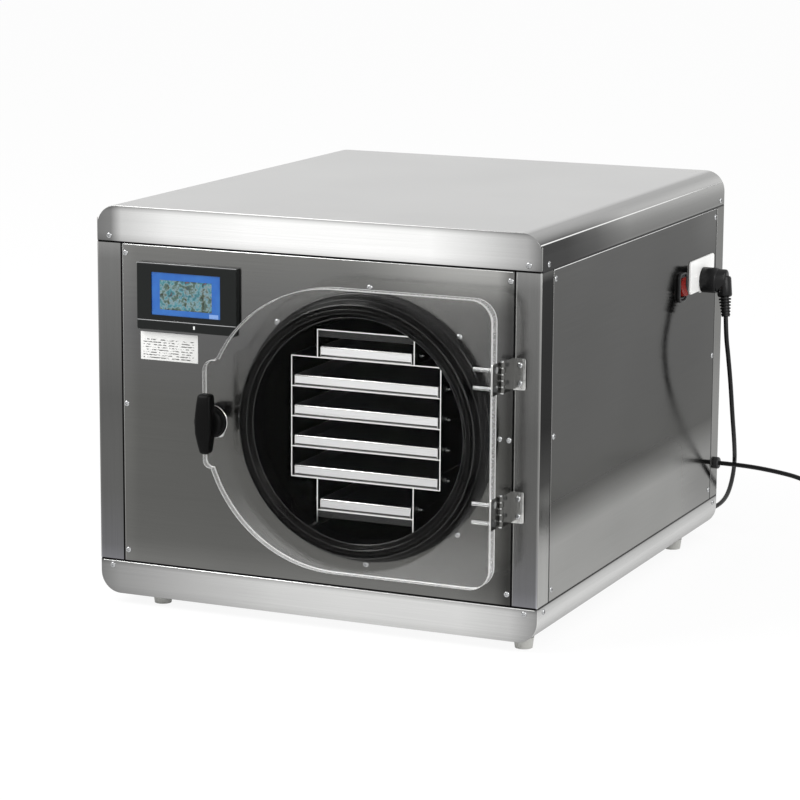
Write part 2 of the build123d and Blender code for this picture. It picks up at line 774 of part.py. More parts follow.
def hinge_leaf(level, on_door, label):
    """A leaf rolled into its share of the knuckles: the odd ones on the post, the even ones on the door."""
    low = level - leaf_h / 2
    with BuildPart() as leaf:
        with BuildSketch(plan(low)):
            if on_door:
                with Locations((door_right_x, -door_front)):
                    Rectangle(leaf_t, door_front - axis_ahead - notch, align=(Align.MIN, Align.MIN))
            else:
                with Locations((bent_x, -axis_ahead + notch)):
                    Rectangle(leaf_t, axis_ahead - notch, align=(Align.MIN, Align.MIN))
                with Locations((bent_x, -leaf_t)):
                    Rectangle(post_leaf_w, leaf_t, align=(Align.MIN, Align.MIN))
        extrude(amount=leaf_h)
        if on_door:
            fillet(leaf.edges().filter_by(Axis.X).group_by(Axis.Y)[0], leaf_corner_r)
        else:
            fillet(leaf.edges().filter_by(Axis.Y).group_by(Axis.X)[-1], leaf_corner_r)
        for index in range(1 if on_door else 0, knuckles, 2):
            with BuildSketch(plan(low + index * (segment_h + knuckle_gap))):
                with Locations((hinge_x, -axis_ahead)):
                    Circle(barrel_r)
                with Locations((door_right_x if on_door else bent_x, -axis_ahead)):
                    Rectangle(leaf_t, notch, align=(Align.MIN, Align.MAX if on_door else Align.MIN))
            extrude(amount=segment_h)
        with BuildSketch(plan(low)):
            with Locations((hinge_x, -axis_ahead)):
                Circle(hinge_pin_r + run_gap)
        extrude(amount=leaf_h, mode=Mode.SUBTRACT)
        with BuildSketch(door_edge(level) if on_door else front):
            with Locations((0, 0) if on_door else (leaf_screw_x, level)):
                with GridLocations(0, 2 * (edge_bolt_rise if on_door else leaf_screw_rise), 1, 2):
                    Circle((edge_bolt_r if on_door else leaf_screw_r) + run_gap)
        extrude(amount=leaf_t, mode=Mode.SUBTRACT)
    keep(leaf, label)


for place, level in hinge_levels.items():
    hinge_leaf(level, False, f"{place}_hinge_post_leaf")
    hinge_leaf(level, True, f"{place}_hinge_door_leaf")

with BuildPart() as hinge_pins:
    for level in hinge_levels.values():
        for low, tall, radius in (
            (-leaf_h / 2, leaf_h, hinge_pin_r),
            (-leaf_h / 2, -pin_head_h, pin_head_r),
            (leaf_h / 2, pin_head_h, pin_head_r),
        ):
            with BuildSketch(plan(level + low)):
                with Locations((hinge_x, -axis_ahead)):
                    Circle(radius)
            extrude(amount=tall)
keep(hinge_pins, "hinge_pins")

with BuildPart() as edge_bolts:
    for level in hinge_levels.values():
        with BuildSketch(door_edge(level).offset(leaf_t)):
            with GridLocations(0, 2 * edge_bolt_rise, 1, 2):
                Circle(edge_bolt_r)
        extrude(amount=-(leaf_t + edge_bolt_len))
        with BuildSketch(door_edge(level).offset(leaf_t)):
            with GridLocations(0, 2 * edge_bolt_rise, 1, 2):
                Circle(edge_bolt_head_r)
        extrude(amount=edge_bolt_head_h)
keep(edge_bolts, "door_edge_bolts")

with BuildPart() as leaf_screws:
    for level in hinge_levels.values():
        with BuildSketch(front.offset(leaf_t)):
            with Locations((leaf_screw_x, level)):
                with GridLocations(0, 2 * leaf_screw_rise, 1, 2):
                    Circle(leaf_screw_head_r)
        extrude(amount=leaf_screw_head_h)
        with BuildSketch(front.offset(leaf_t)):
            with Locations((leaf_screw_x, level)):
                with GridLocations(0, 2 * leaf_screw_rise, 1, 2):
                    Circle(leaf_screw_r)
        extrude(amount=-leaf_t)
keep(leaf_screws, "hinge_screws")

# ---------------------------------------------------------------- latch
hub_face = door_front + washer_t
grip_face = hub_face + hub_len
cam_face = gasket_h - cam_clear
with BuildPart() as handle:
    with BuildSketch(latch.offset(hub_face)):
        Circle(hub_r)
    extrude(amount=hub_len)
    chamfer(handle.edges().filter_by(GeomType.CIRCLE).group_by(Axis.Y)[0], 4)
    with BuildSketch(latch.offset(grip_face - 6)) as grip:
        Polygon(
            (-grip_top_w / 2, grip_h / 2), (grip_top_w / 2, grip_h / 2), (grip_w / 2, grip_h / 6),
            (grip_low_w / 2, -grip_h / 2), (-grip_low_w / 2, -grip_h / 2), (-grip_w / 2, grip_h / 6),
            align=None,
        )
        fillet(grip.vertices(), 4)
    extrude(amount=grip_d + 6)
    for end in (-1, 1):
        with BuildSketch(Plane(origin=latch.origin, x_dir=(0, -1, 0), z_dir=(-1, 0, 0))):
            Polygon(
                (grip_face + grip_d, -end * grip_h / 6),
                (grip_face + grip_end_d, -end * (grip_h / 2 + 2)),
                (grip_face + grip_d + 2, -end * (grip_h / 2 + 2)),
                (grip_face + grip_d + 2, -end * grip_h / 6),
                align=None,
            )
        extrude(amount=grip_w, both=True, mode=Mode.SUBTRACT)
    with BuildSketch(latch.offset(hub_face)):
        Circle(spindle_r + run_gap)
    extrude(amount=hub_len - 3, mode=Mode.SUBTRACT)
keep(handle, "latch_handle")

with BuildPart() as spindle:
    with BuildSketch(latch.offset(cam_face - cam_t - cam_nut_h - 2)):
        Circle(spindle_r)
    extrude(amount=hub_face + hub_len - 3 - (cam_face - cam_t - cam_nut_h - 2))
    with BuildSketch(latch.offset(cam_face)):
        Circle(cam_w / 2 + 2)
    extrude(amount=cam_clear)
keep(spindle, "latch_spindle")

with BuildPart() as washer:
    with BuildSketch(latch.offset(door_front)):
        Circle(washer_r)
        Circle(spindle_r + run_gap, mode=Mode.SUBTRACT)
    extrude(amount=washer_t)
keep(washer, "latch_washer")

with BuildPart() as cam:
    with BuildSketch(latch.offset(cam_face - cam_t)):
        with Locations((0, -(cam_len - cam_w / 2) / 2)):
            SlotOverall(cam_len + cam_w / 2, cam_w, rotation=90)
        Circle(cam_w / 2 + 2)
        Circle(spindle_r + run_gap, mode=Mode.SUBTRACT)
    extrude(amount=cam_t)
keep(cam, "latch_cam")

with BuildPart() as cam_nut:
    with BuildSketch(latch.offset(cam_face - cam_t)):
        RegularPolygon(cam_w / 2 + 2, 6)
        Circle(spindle_r + run_gap, mode=Mode.SUBTRACT)
    extrude(amount=-cam_nut_h)
keep(cam_nut, "latch_nut")

lip_back = cam_face + keeper_gap
riser_x = latch_x - cam_len - 3
with BuildPart() as keeper:
    with BuildSketch(plan(chamber_z - keeper_w / 2)):
        with Locations((riser_x, -(lip_back + keeper_t))):
            Rectangle(keeper_t, lip_back + keeper_t, align=(Align.MAX, Align.MIN))
            Rectangle(keeper_bite + 3, keeper_t, align=(Align.MIN, Align.MIN))
        with Locations((riser_x, -keeper_t)):
            Rectangle(keeper_foot, keeper_t, align=(Align.MAX, Align.MIN))
    extrude(amount=keeper_w)
    fillet(keeper.edges().filter_by(Axis.Z).group_by(Axis.Y)[0].sort_by(Axis.X)[0], 1)
keep(keeper, "latch_keeper")

# ---------------------------------------------------------------- touchscreen
screen = Plane(origin=spot(screen_x, 0, screen_h), x_dir=(1, 0, 0), z_dir=(0, -1, 0))
with BuildPart() as bezel:
    with BuildSketch(screen):
        RectangleRounded(screen_w, screen_tall, 2.5)
    extrude(amount=screen_proud)
    chamfer(bezel.edges().group_by(Axis.Y)[0], 1.2)
    with BuildSketch(screen):
        Rectangle(screen_w - 2 * screen_rim - 1, screen_tall - 2 * screen_rim - 1)
    extrude(amount=-screen_depth)
    with BuildSketch(screen.offset(screen_proud - display_sink - display_t)):
        with Locations((display_x, display_rise)):
            Rectangle(display_w, display_tall)
    extrude(amount=display_sink + display_t, mode=Mode.SUBTRACT)
    with BuildSketch(screen.offset(screen_proud - chin_groove)):
        with Locations((0, -screen_tall / 2 + chin_h)):
            Rectangle(screen_w, chin_groove)
    extrude(amount=chin_groove, mode=Mode.SUBTRACT)
keep(bezel, "touchscreen_bezel")

with BuildPart() as display:
    with BuildSketch(screen.offset(screen_proud - display_sink - display_t)):
        with Locations((display_x, display_rise)):
            Rectangle(display_w - fit_gap, display_tall - fit_gap)
    extrude(amount=display_t)
keep(display, "touchscreen_display")

# ---------------------------------------------------------------- right side
switch = Plane(origin=spot(side_x, switch_y, switch_h), x_dir=(0, 1, 0), z_dir=(1, 0, 0))
pivot = switch.offset(-rocker_pivot)
with BuildPart() as switch_housing:
    with BuildSketch(switch):
        RectangleRounded(switch_w, switch_tall, switch_corner_r)
    extrude(amount=switch_proud)
    chamfer(switch_housing.edges().group_by(Axis.X)[-1], 0.8)
    with BuildSketch(switch):
        Rectangle(switch_body_w, switch_body_tall)
    extrude(amount=-switch_depth)
    with BuildSketch(switch.offset(switch_proud)):
        RectangleRounded(well_w, well_tall, switch_corner_r - 2)
    extrude(amount=-(switch_proud + well_depth), mode=Mode.SUBTRACT)
    with BuildSketch(Plane(origin=pivot.origin, z_dir=(0, 1, 0))):
        Circle(rocker_pin_r + run_gap)
    extrude(amount=switch_body_w / 2 - 0.4, both=True, mode=Mode.SUBTRACT)
keep(switch_housing, "switch_housing")

with BuildPart() as rocker:
    level = Plane(origin=pivot.origin, x_dir=(1, 0, 0), z_dir=(0, -1, 0))
    tilted = Plane(level.location * Rotation(0, 0, rocker_tilt))
    with BuildSketch(tilted):
        with BuildLine():
            Polyline(
                (rocker_out, rocker_half), (rocker_pivot, rocker_half), (-3, 4), (-3, -4),
                (rocker_pivot, -rocker_half), (rocker_out, -rocker_half),
            )
            ThreePointArc(
                (rocker_out, -rocker_half), (rocker_out - rocker_dip, 0), (rocker_out, rocker_half)
            )
        make_face()
    extrude(amount=(well_w - 0.8) / 2, both=True)
    straight = rocker.edges().filter_by(GeomType.LINE)
    fillet(straight.filter_by(lambda e: abs((e % 0.5).X) > 0.9 and e.length > 5), switch_corner_r - 1)
    with BuildSketch(tilted):
        Circle(rocker_pin_r)
    extrude(amount=switch_body_w / 2 - 0.7, both=True)
keep(rocker, "switch_rocker")

outlet = Plane(origin=spot(side_x, outlet_y, outlet_h), x_dir=(0, 1, 0), z_dir=(1, 0, 0))
socket = Plane(origin=spot(side_x, socket_y, socket_h), x_dir=(0, 1, 0), z_dir=(1, 0, 0))
with BuildPart() as outlet_plate:
    with BuildSketch(outlet):
        RectangleRounded(outlet_w, outlet_tall, outlet_corner_r)
    extrude(amount=outlet_t)
    chamfer(outlet_plate.edges().group_by(Axis.X)[-1], 0.8)
    with BuildSketch(socket):
        Circle(outlet_box_r)
    extrude(amount=-outlet_depth)
    with BuildSketch(socket.offset(outlet_t)):
        with GridLocations(2 * pin_gap, 0, 2, 1):
            Circle(pin_r + run_gap)
    extrude(amount=-(pin_len + 1), mode=Mode.SUBTRACT)
    with BuildSketch(outlet.offset(outlet_t)):
        with Locations((-lamp_ahead, 0)):
            Circle(lamp_r)
    extrude(amount=-1.2, mode=Mode.SUBTRACT)
keep(outlet_plate, "outlet_plate")

gland_face = Plane(origin=spot(side_x, gland_y, gland_h), x_dir=(0, 1, 0), z_dir=(1, 0, 0))
with BuildPart() as gland:
    with BuildSketch(gland_face):
        Circle(gland_r)
    extrude(amount=gland_proud)
    fillet(gland.edges().group_by(Axis.X)[-1], 2.5)
    with BuildSketch(gland_face):
        Circle(gland_r - 2.5 - run_gap)
    extrude(amount=-12)
    with BuildSketch(gland_face.offset(-2 * sheet_t)):
        RegularPolygon(gland_nut_r - 1, 6)
    extrude(amount=-4)
keep(gland, "cord_gland")

# ---------------------------------------------------------------- plugs
relief_tip = Vector(*spot(side_x + relief_out, socket_y - relief_ahead, socket_h - relief_drop))
elbow_mid = Vector(*spot(side_x + elbow_x, socket_y, socket_h))
elbow_run = (relief_tip - elbow_mid).length
elbow = Plane(origin=elbow_mid, x_dir=(1, 0, 0), z_dir=relief_tip - elbow_mid)
with BuildPart() as pump_plug:
    with BuildSketch(socket.offset(outlet_t)):
        Circle(plug_r)
    extrude(amount=plug_base_t)
    chamfer(pump_plug.edges().group_by(Axis.X)[-1], 2.5)
    with BuildSketch(socket.offset(outlet_t + plug_base_t - 1)):
        Circle(plug_shoulder_r)
    extrude(amount=elbow_x - outlet_t - plug_base_t + 3, taper=plug_taper)
    with BuildSketch(elbow.offset(-elbow_r + 2.5)):
        Circle(elbow_r)
    extrude(amount=elbow_r + plug_r - 4.5)
    with BuildSketch(elbow.offset(-elbow_r + 2.5)):
        Circle(elbow_r)
    extrude(amount=-2.5, taper=40)
    with BuildSketch(elbow.offset(plug_r - 2)):
        Circle(relief_r + 1)
    extrude(amount=elbow_run - plug_r + 2, taper=degrees(1.0 / (elbow_run - plug_r)))
    for rib in range(relief_ribs):
        with BuildSketch(elbow.offset(plug_r + rib * relief_rib_pitch)):
            Circle(elbow_r - 1 - 0.3 * rib)
        extrude(amount=relief_rib_pitch * 0.6)
    with BuildSketch(socket.offset(outlet_t)):
        with GridLocations(2 * pin_gap, 0, 2, 1):
            Circle(pin_r)
    extrude(amount=-pin_len)
keep(pump_plug, "pump_plug")


# ---------------------------------------------------------------- cords
def cord_path(points):
    """Straight runs joined by arcs as large as each pair of runs allows; returns the points and radii."""
    spots = [Vector(*point) for point in points]
    runs = [b - a for a, b in zip(spots, spots[1:])]
    radii = [
        0.45 * min(a.length, b.length) / tan(radians(a.get_angle(b)) / 2) for a, b in zip(runs, runs[1:])
    ]
    return spots, radii


def cord_tube(points, label):
    """The stretch of a cord that isn't coiled."""
    spots, radii = cord_path(points)
    print(label, "radii", [round(r) for r in radii])
    with BuildPart() as tube:
        with BuildLine() as route:
            FilletPolyline(*spots, radius=radii)
        with BuildSketch(Plane(origin=spots[0], z_dir=spots[1] - spots[0])):
            Circle(cord_d / 2)
        sweep(path=route.line)
    length = sum(edge.length for edge in route.edges())
    fill = tube.part.volume / (length * pi * cord_d ** 2 / 4)
    print(label, "length", round(length), "volume ratio", round(fill, 4))
    keep(tube, label)


def cord_coil(x, y, label):
    """The outer shape of the coiled rest of a cord, lying on the floor."""
    wide = coil_columns * cord_d
    tall = coil_layers * cord_d
    with BuildPart() as coil:
        with BuildSketch(Plane(origin=(mid_x + x, front_y + y, 0), x_dir=(1, 0, 0), z_dir=(0, -1, 0))):
            with Locations((coil_mid_r, tall / 2)):
                RectangleRounded(wide, tall, cord_d / 2 - 0.1)
        revolve(axis=Axis((mid_x + x, front_y + y, 0), (0, 0, 1)))
    keep(coil, label)


outer_turn = coil_mid_r + (coil_columns - 1) * cord_d / 2
tangent_run = 14.0  # a cord's end to where the coil's outer turn touches its line
floor_cord = cord_d / 2 - foot_h
supply_points = [
    spot(side_x + gland_proud, gland_y, gland_h),
    spot(372, gland_y, gland_h),
    spot(418, 744.3, 97.4),
    spot(468, 743.8, 90.0),
    spot(490, 744.4, 76.8),
    spot(504.4, 744.9, 57.7),
    spot(511.9, 744.6, 37.0),
    spot(524.2, 744.3, 18.8),
    spot(544.1, 744.6, 5.3),
    spot(567.7, 744.2, -5.2),
    spot(supply_coil_x - tangent_run, supply_coil_y + outer_turn - 0.4, floor_cord),
]
cord_tube(supply_points, "supply_cord")
cord_coil(supply_coil_x, supply_coil_y, "supply_cord_coil")

pump_points = [
    tuple(relief_tip + elbow.z_dir * 0.2),
    tuple(relief_tip + elbow.z_dir * 28),
    spot(380.5, 636.5, 290),
    spot(380.8, 651, 246),
    spot(376, 680, 189),
    spot(370, 712, 143),
    spot(357.5, 757, 99.5),
    spot(344, 784, 60),
    spot(327, 812, 30),
    spot(303, 838, 8),
    spot(270, 855, -6.2),
    spot(237, pump_coil_y + outer_turn + 0.2, floor_cord + 0.5),
    spot(pump_coil_x + tangent_run, pump_coil_y + outer_turn - 0.4, floor_cord),
]
cord_tube(pump_points, "pump_lead")
cord_coil(pump_coil_x, pump_coil_y, "pump_lead_coil")

top_turn = (coil_layers - 0.5) * cord_d - foot_h
supply_relief = Plane(
    origin=spot(supply_coil_x + outer_turn, supply_coil_y - tangent_run, top_turn),
    x_dir=(1, 0, 0), z_dir=(0, -1, 0),
)
with BuildPart() as supply_plug:
    with BuildSketch(supply_relief):
        Circle(cord_d / 2 + 0.5)
    extrude(amount=relief_len, taper=-4)
    with BuildSketch(supply_relief.offset(relief_len)):
        Circle(13)
    with BuildSketch(supply_relief.offset(relief_len + straight_plug_len / 2)):
        with Locations((0, plug_r - foot_h - top_turn)):
            Circle(plug_r)
    loft()
    with BuildSketch(supply_relief.offset(relief_len + straight_plug_len / 2)):
        with Locations((0, plug_r - foot_h - top_turn)):
            Circle(plug_r)
    extrude(amount=straight_plug_len / 2)
    with BuildSketch(supply_relief.offset(relief_len + straight_plug_len)):
        with Locations((0, plug_r - foot_h - top_turn)):
            with GridLocations(2 * pin_gap, 0, 2, 1):
                Circle(pin_r)
    extrude(amount=pin_len)
keep(supply_plug, "supply_plug")

middle_turn = 1.5 * cord_d - foot_h
pump_relief = Plane(
    origin=spot(pump_coil_x + tangent_run, pump_coil_y - outer_turn, middle_turn),
    x_dir=(0, 1, 0), z_dir=(1, 0, 0),
)
with BuildPart() as connector:
    with BuildSketch(pump_relief):
        Circle(cord_d / 2 + 0.5)
    extrude(amount=relief_len, taper=-3)
    with BuildSketch(pump_relief.offset(relief_len)) as connector_end:
        Rectangle(connector_w, connector_t)
        chamfer(connector_end.vertices().group_by(Axis.Z)[-1], 5)
    extrude(amount=connector_len)
    with BuildSketch(pump_relief.offset(relief_len + connector_len)):
        for pin_y, pin_z in ((-7, -2), (0, 2), (7, -2)):
            with Locations((pin_y, pin_z)):
                Rectangle(2.4, 6)
    extrude(amount=-14, mode=Mode.SUBTRACT)
keep(connector, "pump_connector")

# ---------------------------------------------------------------- refrigeration
with BuildPart() as compressor:
    with BuildSketch(plan(floor_z + compressor_stand)):
        with Locations((compressor_x, compressor_y)):
            Circle(compressor_r)
    extrude(amount=compressor_tall)
    fillet(compressor.edges().group_by(Axis.Z)[-1], 34)
    fillet(compressor.edges().group_by(Axis.Z)[0], 14)
    with BuildSketch(plan(floor_z + compressor_stand)):
        with Locations((compressor_x, compressor_y)):
            RectangleRounded(2 * compressor_r + 40, compressor_r + 50, 12)
    extrude(amount=3)
    with BuildSketch(plan(floor_z)):
        with Locations((compressor_x, compressor_y)):
            with GridLocations(2 * compressor_r + 14, compressor_r + 24, 2, 2):
                Circle(9)
    extrude(amount=compressor_stand)
    with BuildSketch(plan(floor_z + compressor_stand + 50)):
        with Locations((compressor_x - compressor_r - 8, compressor_y)):
            Rectangle(50, 60)
    extrude(amount=60)
keep(compressor, "compressor")

shroud_plate = fan_back + fan_depth / 2
with BuildPart() as shroud:
    with BuildSketch(fan.offset(-shroud_plate)):
        Rectangle(shroud_w, shroud_tall)
    extrude(amount=-shroud_len)
    with BuildSketch(fan.offset(-shroud_plate - sheet_t)):
        Rectangle(shroud_w - 2 * sheet_t, shroud_tall - 2 * sheet_t)
    extrude(amount=-shroud_len, mode=Mode.SUBTRACT)
    with BuildSketch(fan.offset(-shroud_plate)):
        Circle(fan_r + fan_ring_gap)
    extrude(amount=-2 * sheet_t, mode=Mode.SUBTRACT)
    with BuildSketch(fan.offset(-shroud_plate)):
        Circle(fan_r + fan_ring_gap)
        Circle(fan_r + fan_ring_gap - sheet_t, mode=Mode.SUBTRACT)
    extrude(amount=fan_depth - 6)
    with BuildSketch(fan.offset(-shroud_plate - sheet_t)):
        Circle(fan_r + fan_ring_gap)
        Circle(fan_r + fan_ring_gap - sheet_t, mode=Mode.SUBTRACT)
    extrude(amount=sheet_t)
    with BuildSketch(fan.offset(-shroud_plate - motor_gap)):
        Rectangle(shroud_w - sheet_t, strut_w)
        Circle(motor_r + 1, mode=Mode.ADD)
        Circle(motor_shaft_r + run_gap, mode=Mode.SUBTRACT)
    extrude(amount=-sheet_t)
    with BuildSketch(fan.offset(-shroud_plate - motor_gap - sheet_t)):
        Circle(motor_r)
    extrude(amount=-motor_len)
    with BuildSketch(fan.offset(-shroud_plate - motor_gap)):
        Circle(motor_shaft_r + run_gap)
    extrude(amount=-motor_len / 2, mode=Mode.SUBTRACT)
    foot_drop = fan_h - shroud_tall / 2 - sheet_t
    for side in (-1, 1):
        with BuildSketch(fan.offset(-shroud_plate)):
            with Locations((side * (shroud_w - shroud_foot_w) / 2, -shroud_tall / 2)):
                Rectangle(shroud_foot_w, foot_drop, align=(Align.CENTER, Align.MAX))
        extrude(amount=-2)
keep(shroud, "fan_shroud")

with BuildPart() as rotor:
    with BuildSketch(fan.offset(-fan_back - fan_depth / 2)):
        Circle(fan_hub_r)
    extrude(amount=fan_depth)
    chamfer(rotor.edges().group_by(Axis.Y)[-1], 4)
    for blade in range(fan_blades):
        turned = Plane(fan.offset(-fan_back).location * Rotation(0, 0, 360 * blade / fan_blades))
        upright = Plane(origin=turned.origin, x_dir=turned.y_dir, z_dir=turned.x_dir)
        blade_plane = Plane(upright.location * Rotation(0, 0, fan_blade_tilt))
        with BuildSketch(blade_plane.offset(fan_hub_r - 3)):
            Rectangle(fan_hub_r * 1.3, fan_blade_t)
        with BuildSketch(blade_plane.offset(fan_r - 4)):
            Rectangle(fan_hub_r * 1.5, fan_blade_t)
        loft()
    with BuildSketch(fan.offset(-fan_back - fan_depth / 2)):
        Circle(motor_shaft_r)
    extrude(amount=-(motor_gap + sheet_t + 8))
keep(rotor, "fan_rotor")

core_face = shroud_plate + shroud_len
with BuildPart() as condenser:
    with BuildSketch(fan.offset(-core_face)):
        for side in (-1, 1):
            with Locations((side * (shroud_w - core_plate_t) / 2, 0)):
                Rectangle(core_plate_t, shroud_tall)
    extrude(amount=-core_len)
    with BuildSketch(fan.offset(-core_face)):
        with GridLocations(0, shroud_tall / core_fins, 1, core_fins):
            Rectangle(shroud_w, core_fin_t)
    extrude(amount=-core_len)
    with BuildSketch(fan.offset(-core_face)):
        for side in (-1, 1):
            with Locations((side * (shroud_w - shroud_foot_w) / 2, -shroud_tall / 2)):
                Rectangle(shroud_foot_w, foot_drop, align=(Align.CENTER, Align.MAX))
            with Locations((side * (shroud_w - core_plate_t) / 2, -shroud_tall / 2)):
                Rectangle(core_plate_t, core_plate_t)
        with Locations((0, -shroud_tall / 2 + core_plate_t / 2)):
            Rectangle(shroud_w, core_plate_t)
    extrude(amount=-4)
keep(condenser, "condenser")

# ---------------------------------------------------------------- vacuum port and drain
vacuum = Plane(
    origin=spot(chamber_x + vacuum_x, cab_d, chamber_h + vacuum_rise), x_dir=(-1, 0, 0), z_dir=(0, 1, 0)
)
with BuildPart() as vacuum_port:
    with BuildSketch(vacuum.offset(drum_len - cab_d)):
        Circle(vacuum_r)
    extrude(amount=cab_d - drum_len + vacuum_proud)
    with BuildSketch(vacuum.offset(vacuum_proud - vacuum_flange_t)):
        Circle(vacuum_flange_r)
    extrude(amount=vacuum_flange_t)
    chamfer(vacuum_port.edges().filter_by(GeomType.CIRCLE).group_by(Axis.Y)[-2], 2)
    with BuildSketch(vacuum.offset(drum_len - cab_d)):
        Circle(vacuum_r + 8)
    extrude(amount=4)
    with BuildSketch(vacuum.offset(drum_len - cab_d)):
        Circle(vacuum_bore_r)
    extrude(amount=cab_d - drum_len + vacuum_proud, mode=Mode.SUBTRACT)
keep(vacuum_port, "vacuum_port")

drain_h = chamber_h - drum_out_r - drain_drop
drain_top = chamber_h - drum_r
drain_line = Plane(origin=spot(chamber_x, cab_d, drain_h), x_dir=(-1, 0, 0), z_dir=(0, 1, 0))
with BuildPart() as drain_valve:
    with BuildLine() as drain_route:
        FilletPolyline(
            spot(chamber_x, drain_y, drain_top), spot(chamber_x, drain_y, drain_h),
            spot(chamber_x, cab_d + valve_stand + 1, drain_h), radius=drain_bend_r,
        )
    with BuildSketch(Plane(origin=spot(chamber_x, drain_y, drain_top), z_dir=(0, 0, -1))):
        Circle(drain_r)
        Circle(drain_bore_r, mode=Mode.SUBTRACT)
    sweep(path=drain_route.line)
    with BuildSketch(bore):
        Circle(drum_out_r)
    extrude(amount=-cab_d, mode=Mode.SUBTRACT)
    with BuildSketch(drain_line.offset(valve_stand)):
        RegularPolygon(valve_r, 6)
    extrude(amount=valve_len)
    with BuildSketch(drain_line.offset(valve_stand + valve_len)):
        Circle(spigot_r)
    extrude(amount=spigot_len)
    with BuildSketch(drain_line.offset(valve_stand)):
        Circle(drain_bore_r - 1)
    extrude(amount=valve_len + spigot_len, mode=Mode.SUBTRACT)
    stem = Plane(origin=spot(chamber_x, cab_d + valve_stand + valve_len / 2, drain_h), z_dir=(0, 0, 1))
    with BuildSketch(stem.offset(spigot_r)):
        Circle(stem_r + 3)
    extrude(amount=valve_r + stem_h - 3 - spigot_r)
    with BuildSketch(stem.offset(spigot_r + 2)):
        Circle(stem_r + run_gap)
    extrude(amount=valve_r + stem_h, mode=Mode.SUBTRACT)
keep(drain_valve, "drain_valve")

with BuildPart() as drain_lever:
    lever_base = stem.offset(valve_r + stem_h - 3)
    with BuildSketch(stem.offset(spigot_r + 2)):
        Circle(stem_r)
    extrude(amount=valve_r + stem_h - 3 - spigot_r - 2)
    with BuildSketch(lever_base):
        with Locations((lever_len / 2 - lever_w / 2, 0)):
            SlotOverall(lever_len, lever_w)
        Circle(lever_head_r)
    extrude(amount=lever_t)
keep(drain_lever, "drain_lever")
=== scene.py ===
import bpy
import bmesh
import math
from mathutils import Matrix, Vector


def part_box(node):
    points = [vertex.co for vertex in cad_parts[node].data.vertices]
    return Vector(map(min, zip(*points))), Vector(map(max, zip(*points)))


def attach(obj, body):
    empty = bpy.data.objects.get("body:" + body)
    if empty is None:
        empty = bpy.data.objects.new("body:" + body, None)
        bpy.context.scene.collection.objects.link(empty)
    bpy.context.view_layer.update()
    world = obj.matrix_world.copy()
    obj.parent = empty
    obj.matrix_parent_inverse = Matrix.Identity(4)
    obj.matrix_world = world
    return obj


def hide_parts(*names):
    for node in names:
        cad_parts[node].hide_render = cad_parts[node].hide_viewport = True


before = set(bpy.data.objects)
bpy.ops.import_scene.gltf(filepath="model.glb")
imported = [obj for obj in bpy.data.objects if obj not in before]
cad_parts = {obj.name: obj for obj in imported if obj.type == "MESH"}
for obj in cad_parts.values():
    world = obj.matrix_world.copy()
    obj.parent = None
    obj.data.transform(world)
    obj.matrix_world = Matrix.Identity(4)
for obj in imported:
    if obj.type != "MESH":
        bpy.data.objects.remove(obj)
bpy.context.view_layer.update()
print("frame loaded")

coverLow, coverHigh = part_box("top_cover")
middleX = (coverLow[0] + coverHigh[0]) / 2
frontY = coverLow[1]
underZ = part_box("base_tray")[0][2]
sideX = 330  # half the cabinet's width, in millimetres
chamberAxis = (84, 274)  # across and up, in millimetres
latchAxis = (-121, 274)
bumpDistance = 0.0002  # metres from the lowest to the highest mark of a finish


def at(x, y, z):  # millimetres from the cabinet's middle, its front face and its underside
    return Vector((middleX + x / 1000, frontY + y / 1000, underZ + z / 1000))


def colourOf(tone):  # an sRGB hex colour or a grey level, to linear
    if isinstance(tone, str):
        parts = [int(tone[i:i + 2], 16) / 255 for i in (1, 3, 5)]
        return tuple(c / 12.92 if c <= 0.04045 else ((c + 0.055) / 1.055) ** 2.4 for c in parts) + (1.0,)
    return tone if isinstance(tone, tuple) else (tone, tone, tone, 1.0)


def addNode(tree, kind, settings=None, links=None):  # in links, a node stands for its first output
    node = tree.nodes.new("ShaderNode" + kind)
    for name, value in (settings or {}).items():
        if name == "stops":  # the places and colours of a ramp
            elements = node.color_ramp.elements
            while len(elements) < len(value):
                elements.new(0.5)
            for element, (spot, tone) in zip(elements, value):
                element.position = spot
                element.color = colourOf(tone)
        elif isinstance(name, str) and hasattr(node, name):
            setattr(node, name, value)
        else:
            node.inputs[name].default_value = colourOf(value) if isinstance(value, str) else value
    for name, source in (links or {}).items():
        tree.links.new(getattr(source, "outputs", [source])[0], node.inputs[name])
    return node


def newMaterial(name):
    material = bpy.data.materials.new(name)
    material.use_nodes = True
    material.node_tree.nodes.clear()
    return material, material.node_tree


def stretched(tree, scale, detail=2.0, roughness=0.5):  # noise drawn out along the axes with a small scale
    place = addNode(tree, "TexCoord")
    mapping = addNode(tree, "Mapping", {"Scale": scale}, {"Vector": place.outputs["Object"]})
    return addNode(tree, "TexNoise", {"Scale": 1.0, "Detail": detail, "Roughness": roughness}, {"Vector": mapping})


def toneAlong(tree, axis, start, reach, stops):  # a tone for each millimetre along an axis
    place = addNode(tree, "TexCoord")
    parts = addNode(tree, "SeparateXYZ", links={"Vector": place.outputs["Object"]})
    share = addNode(tree, "MapRange", {"From Min": start, "From Max": start + reach / 1000},
                    {"Value": parts.outputs[axis]})
    return addNode(tree, "ValToRGB", {"stops": [(way / reach, tone) for way, tone in stops]}, {"Fac": share})


def toneUp(tree, stops):  # a tone for each height above the underside
    return toneAlong(tree, "Z", underZ, 600, stops)


def facing(tree, direction, start=0.45, end=0.9):  # 1 where the face looks that way
    place = addNode(tree, "TexCoord")
    turned = addNode(tree, "VectorMath", {"operation": "DOT_PRODUCT", 1: direction}, {0: place.outputs["Normal"]})
    return addNode(tree, "MapRange", {"From Min": start, "From Max": end}, {"Value": turned.outputs["Value"]})


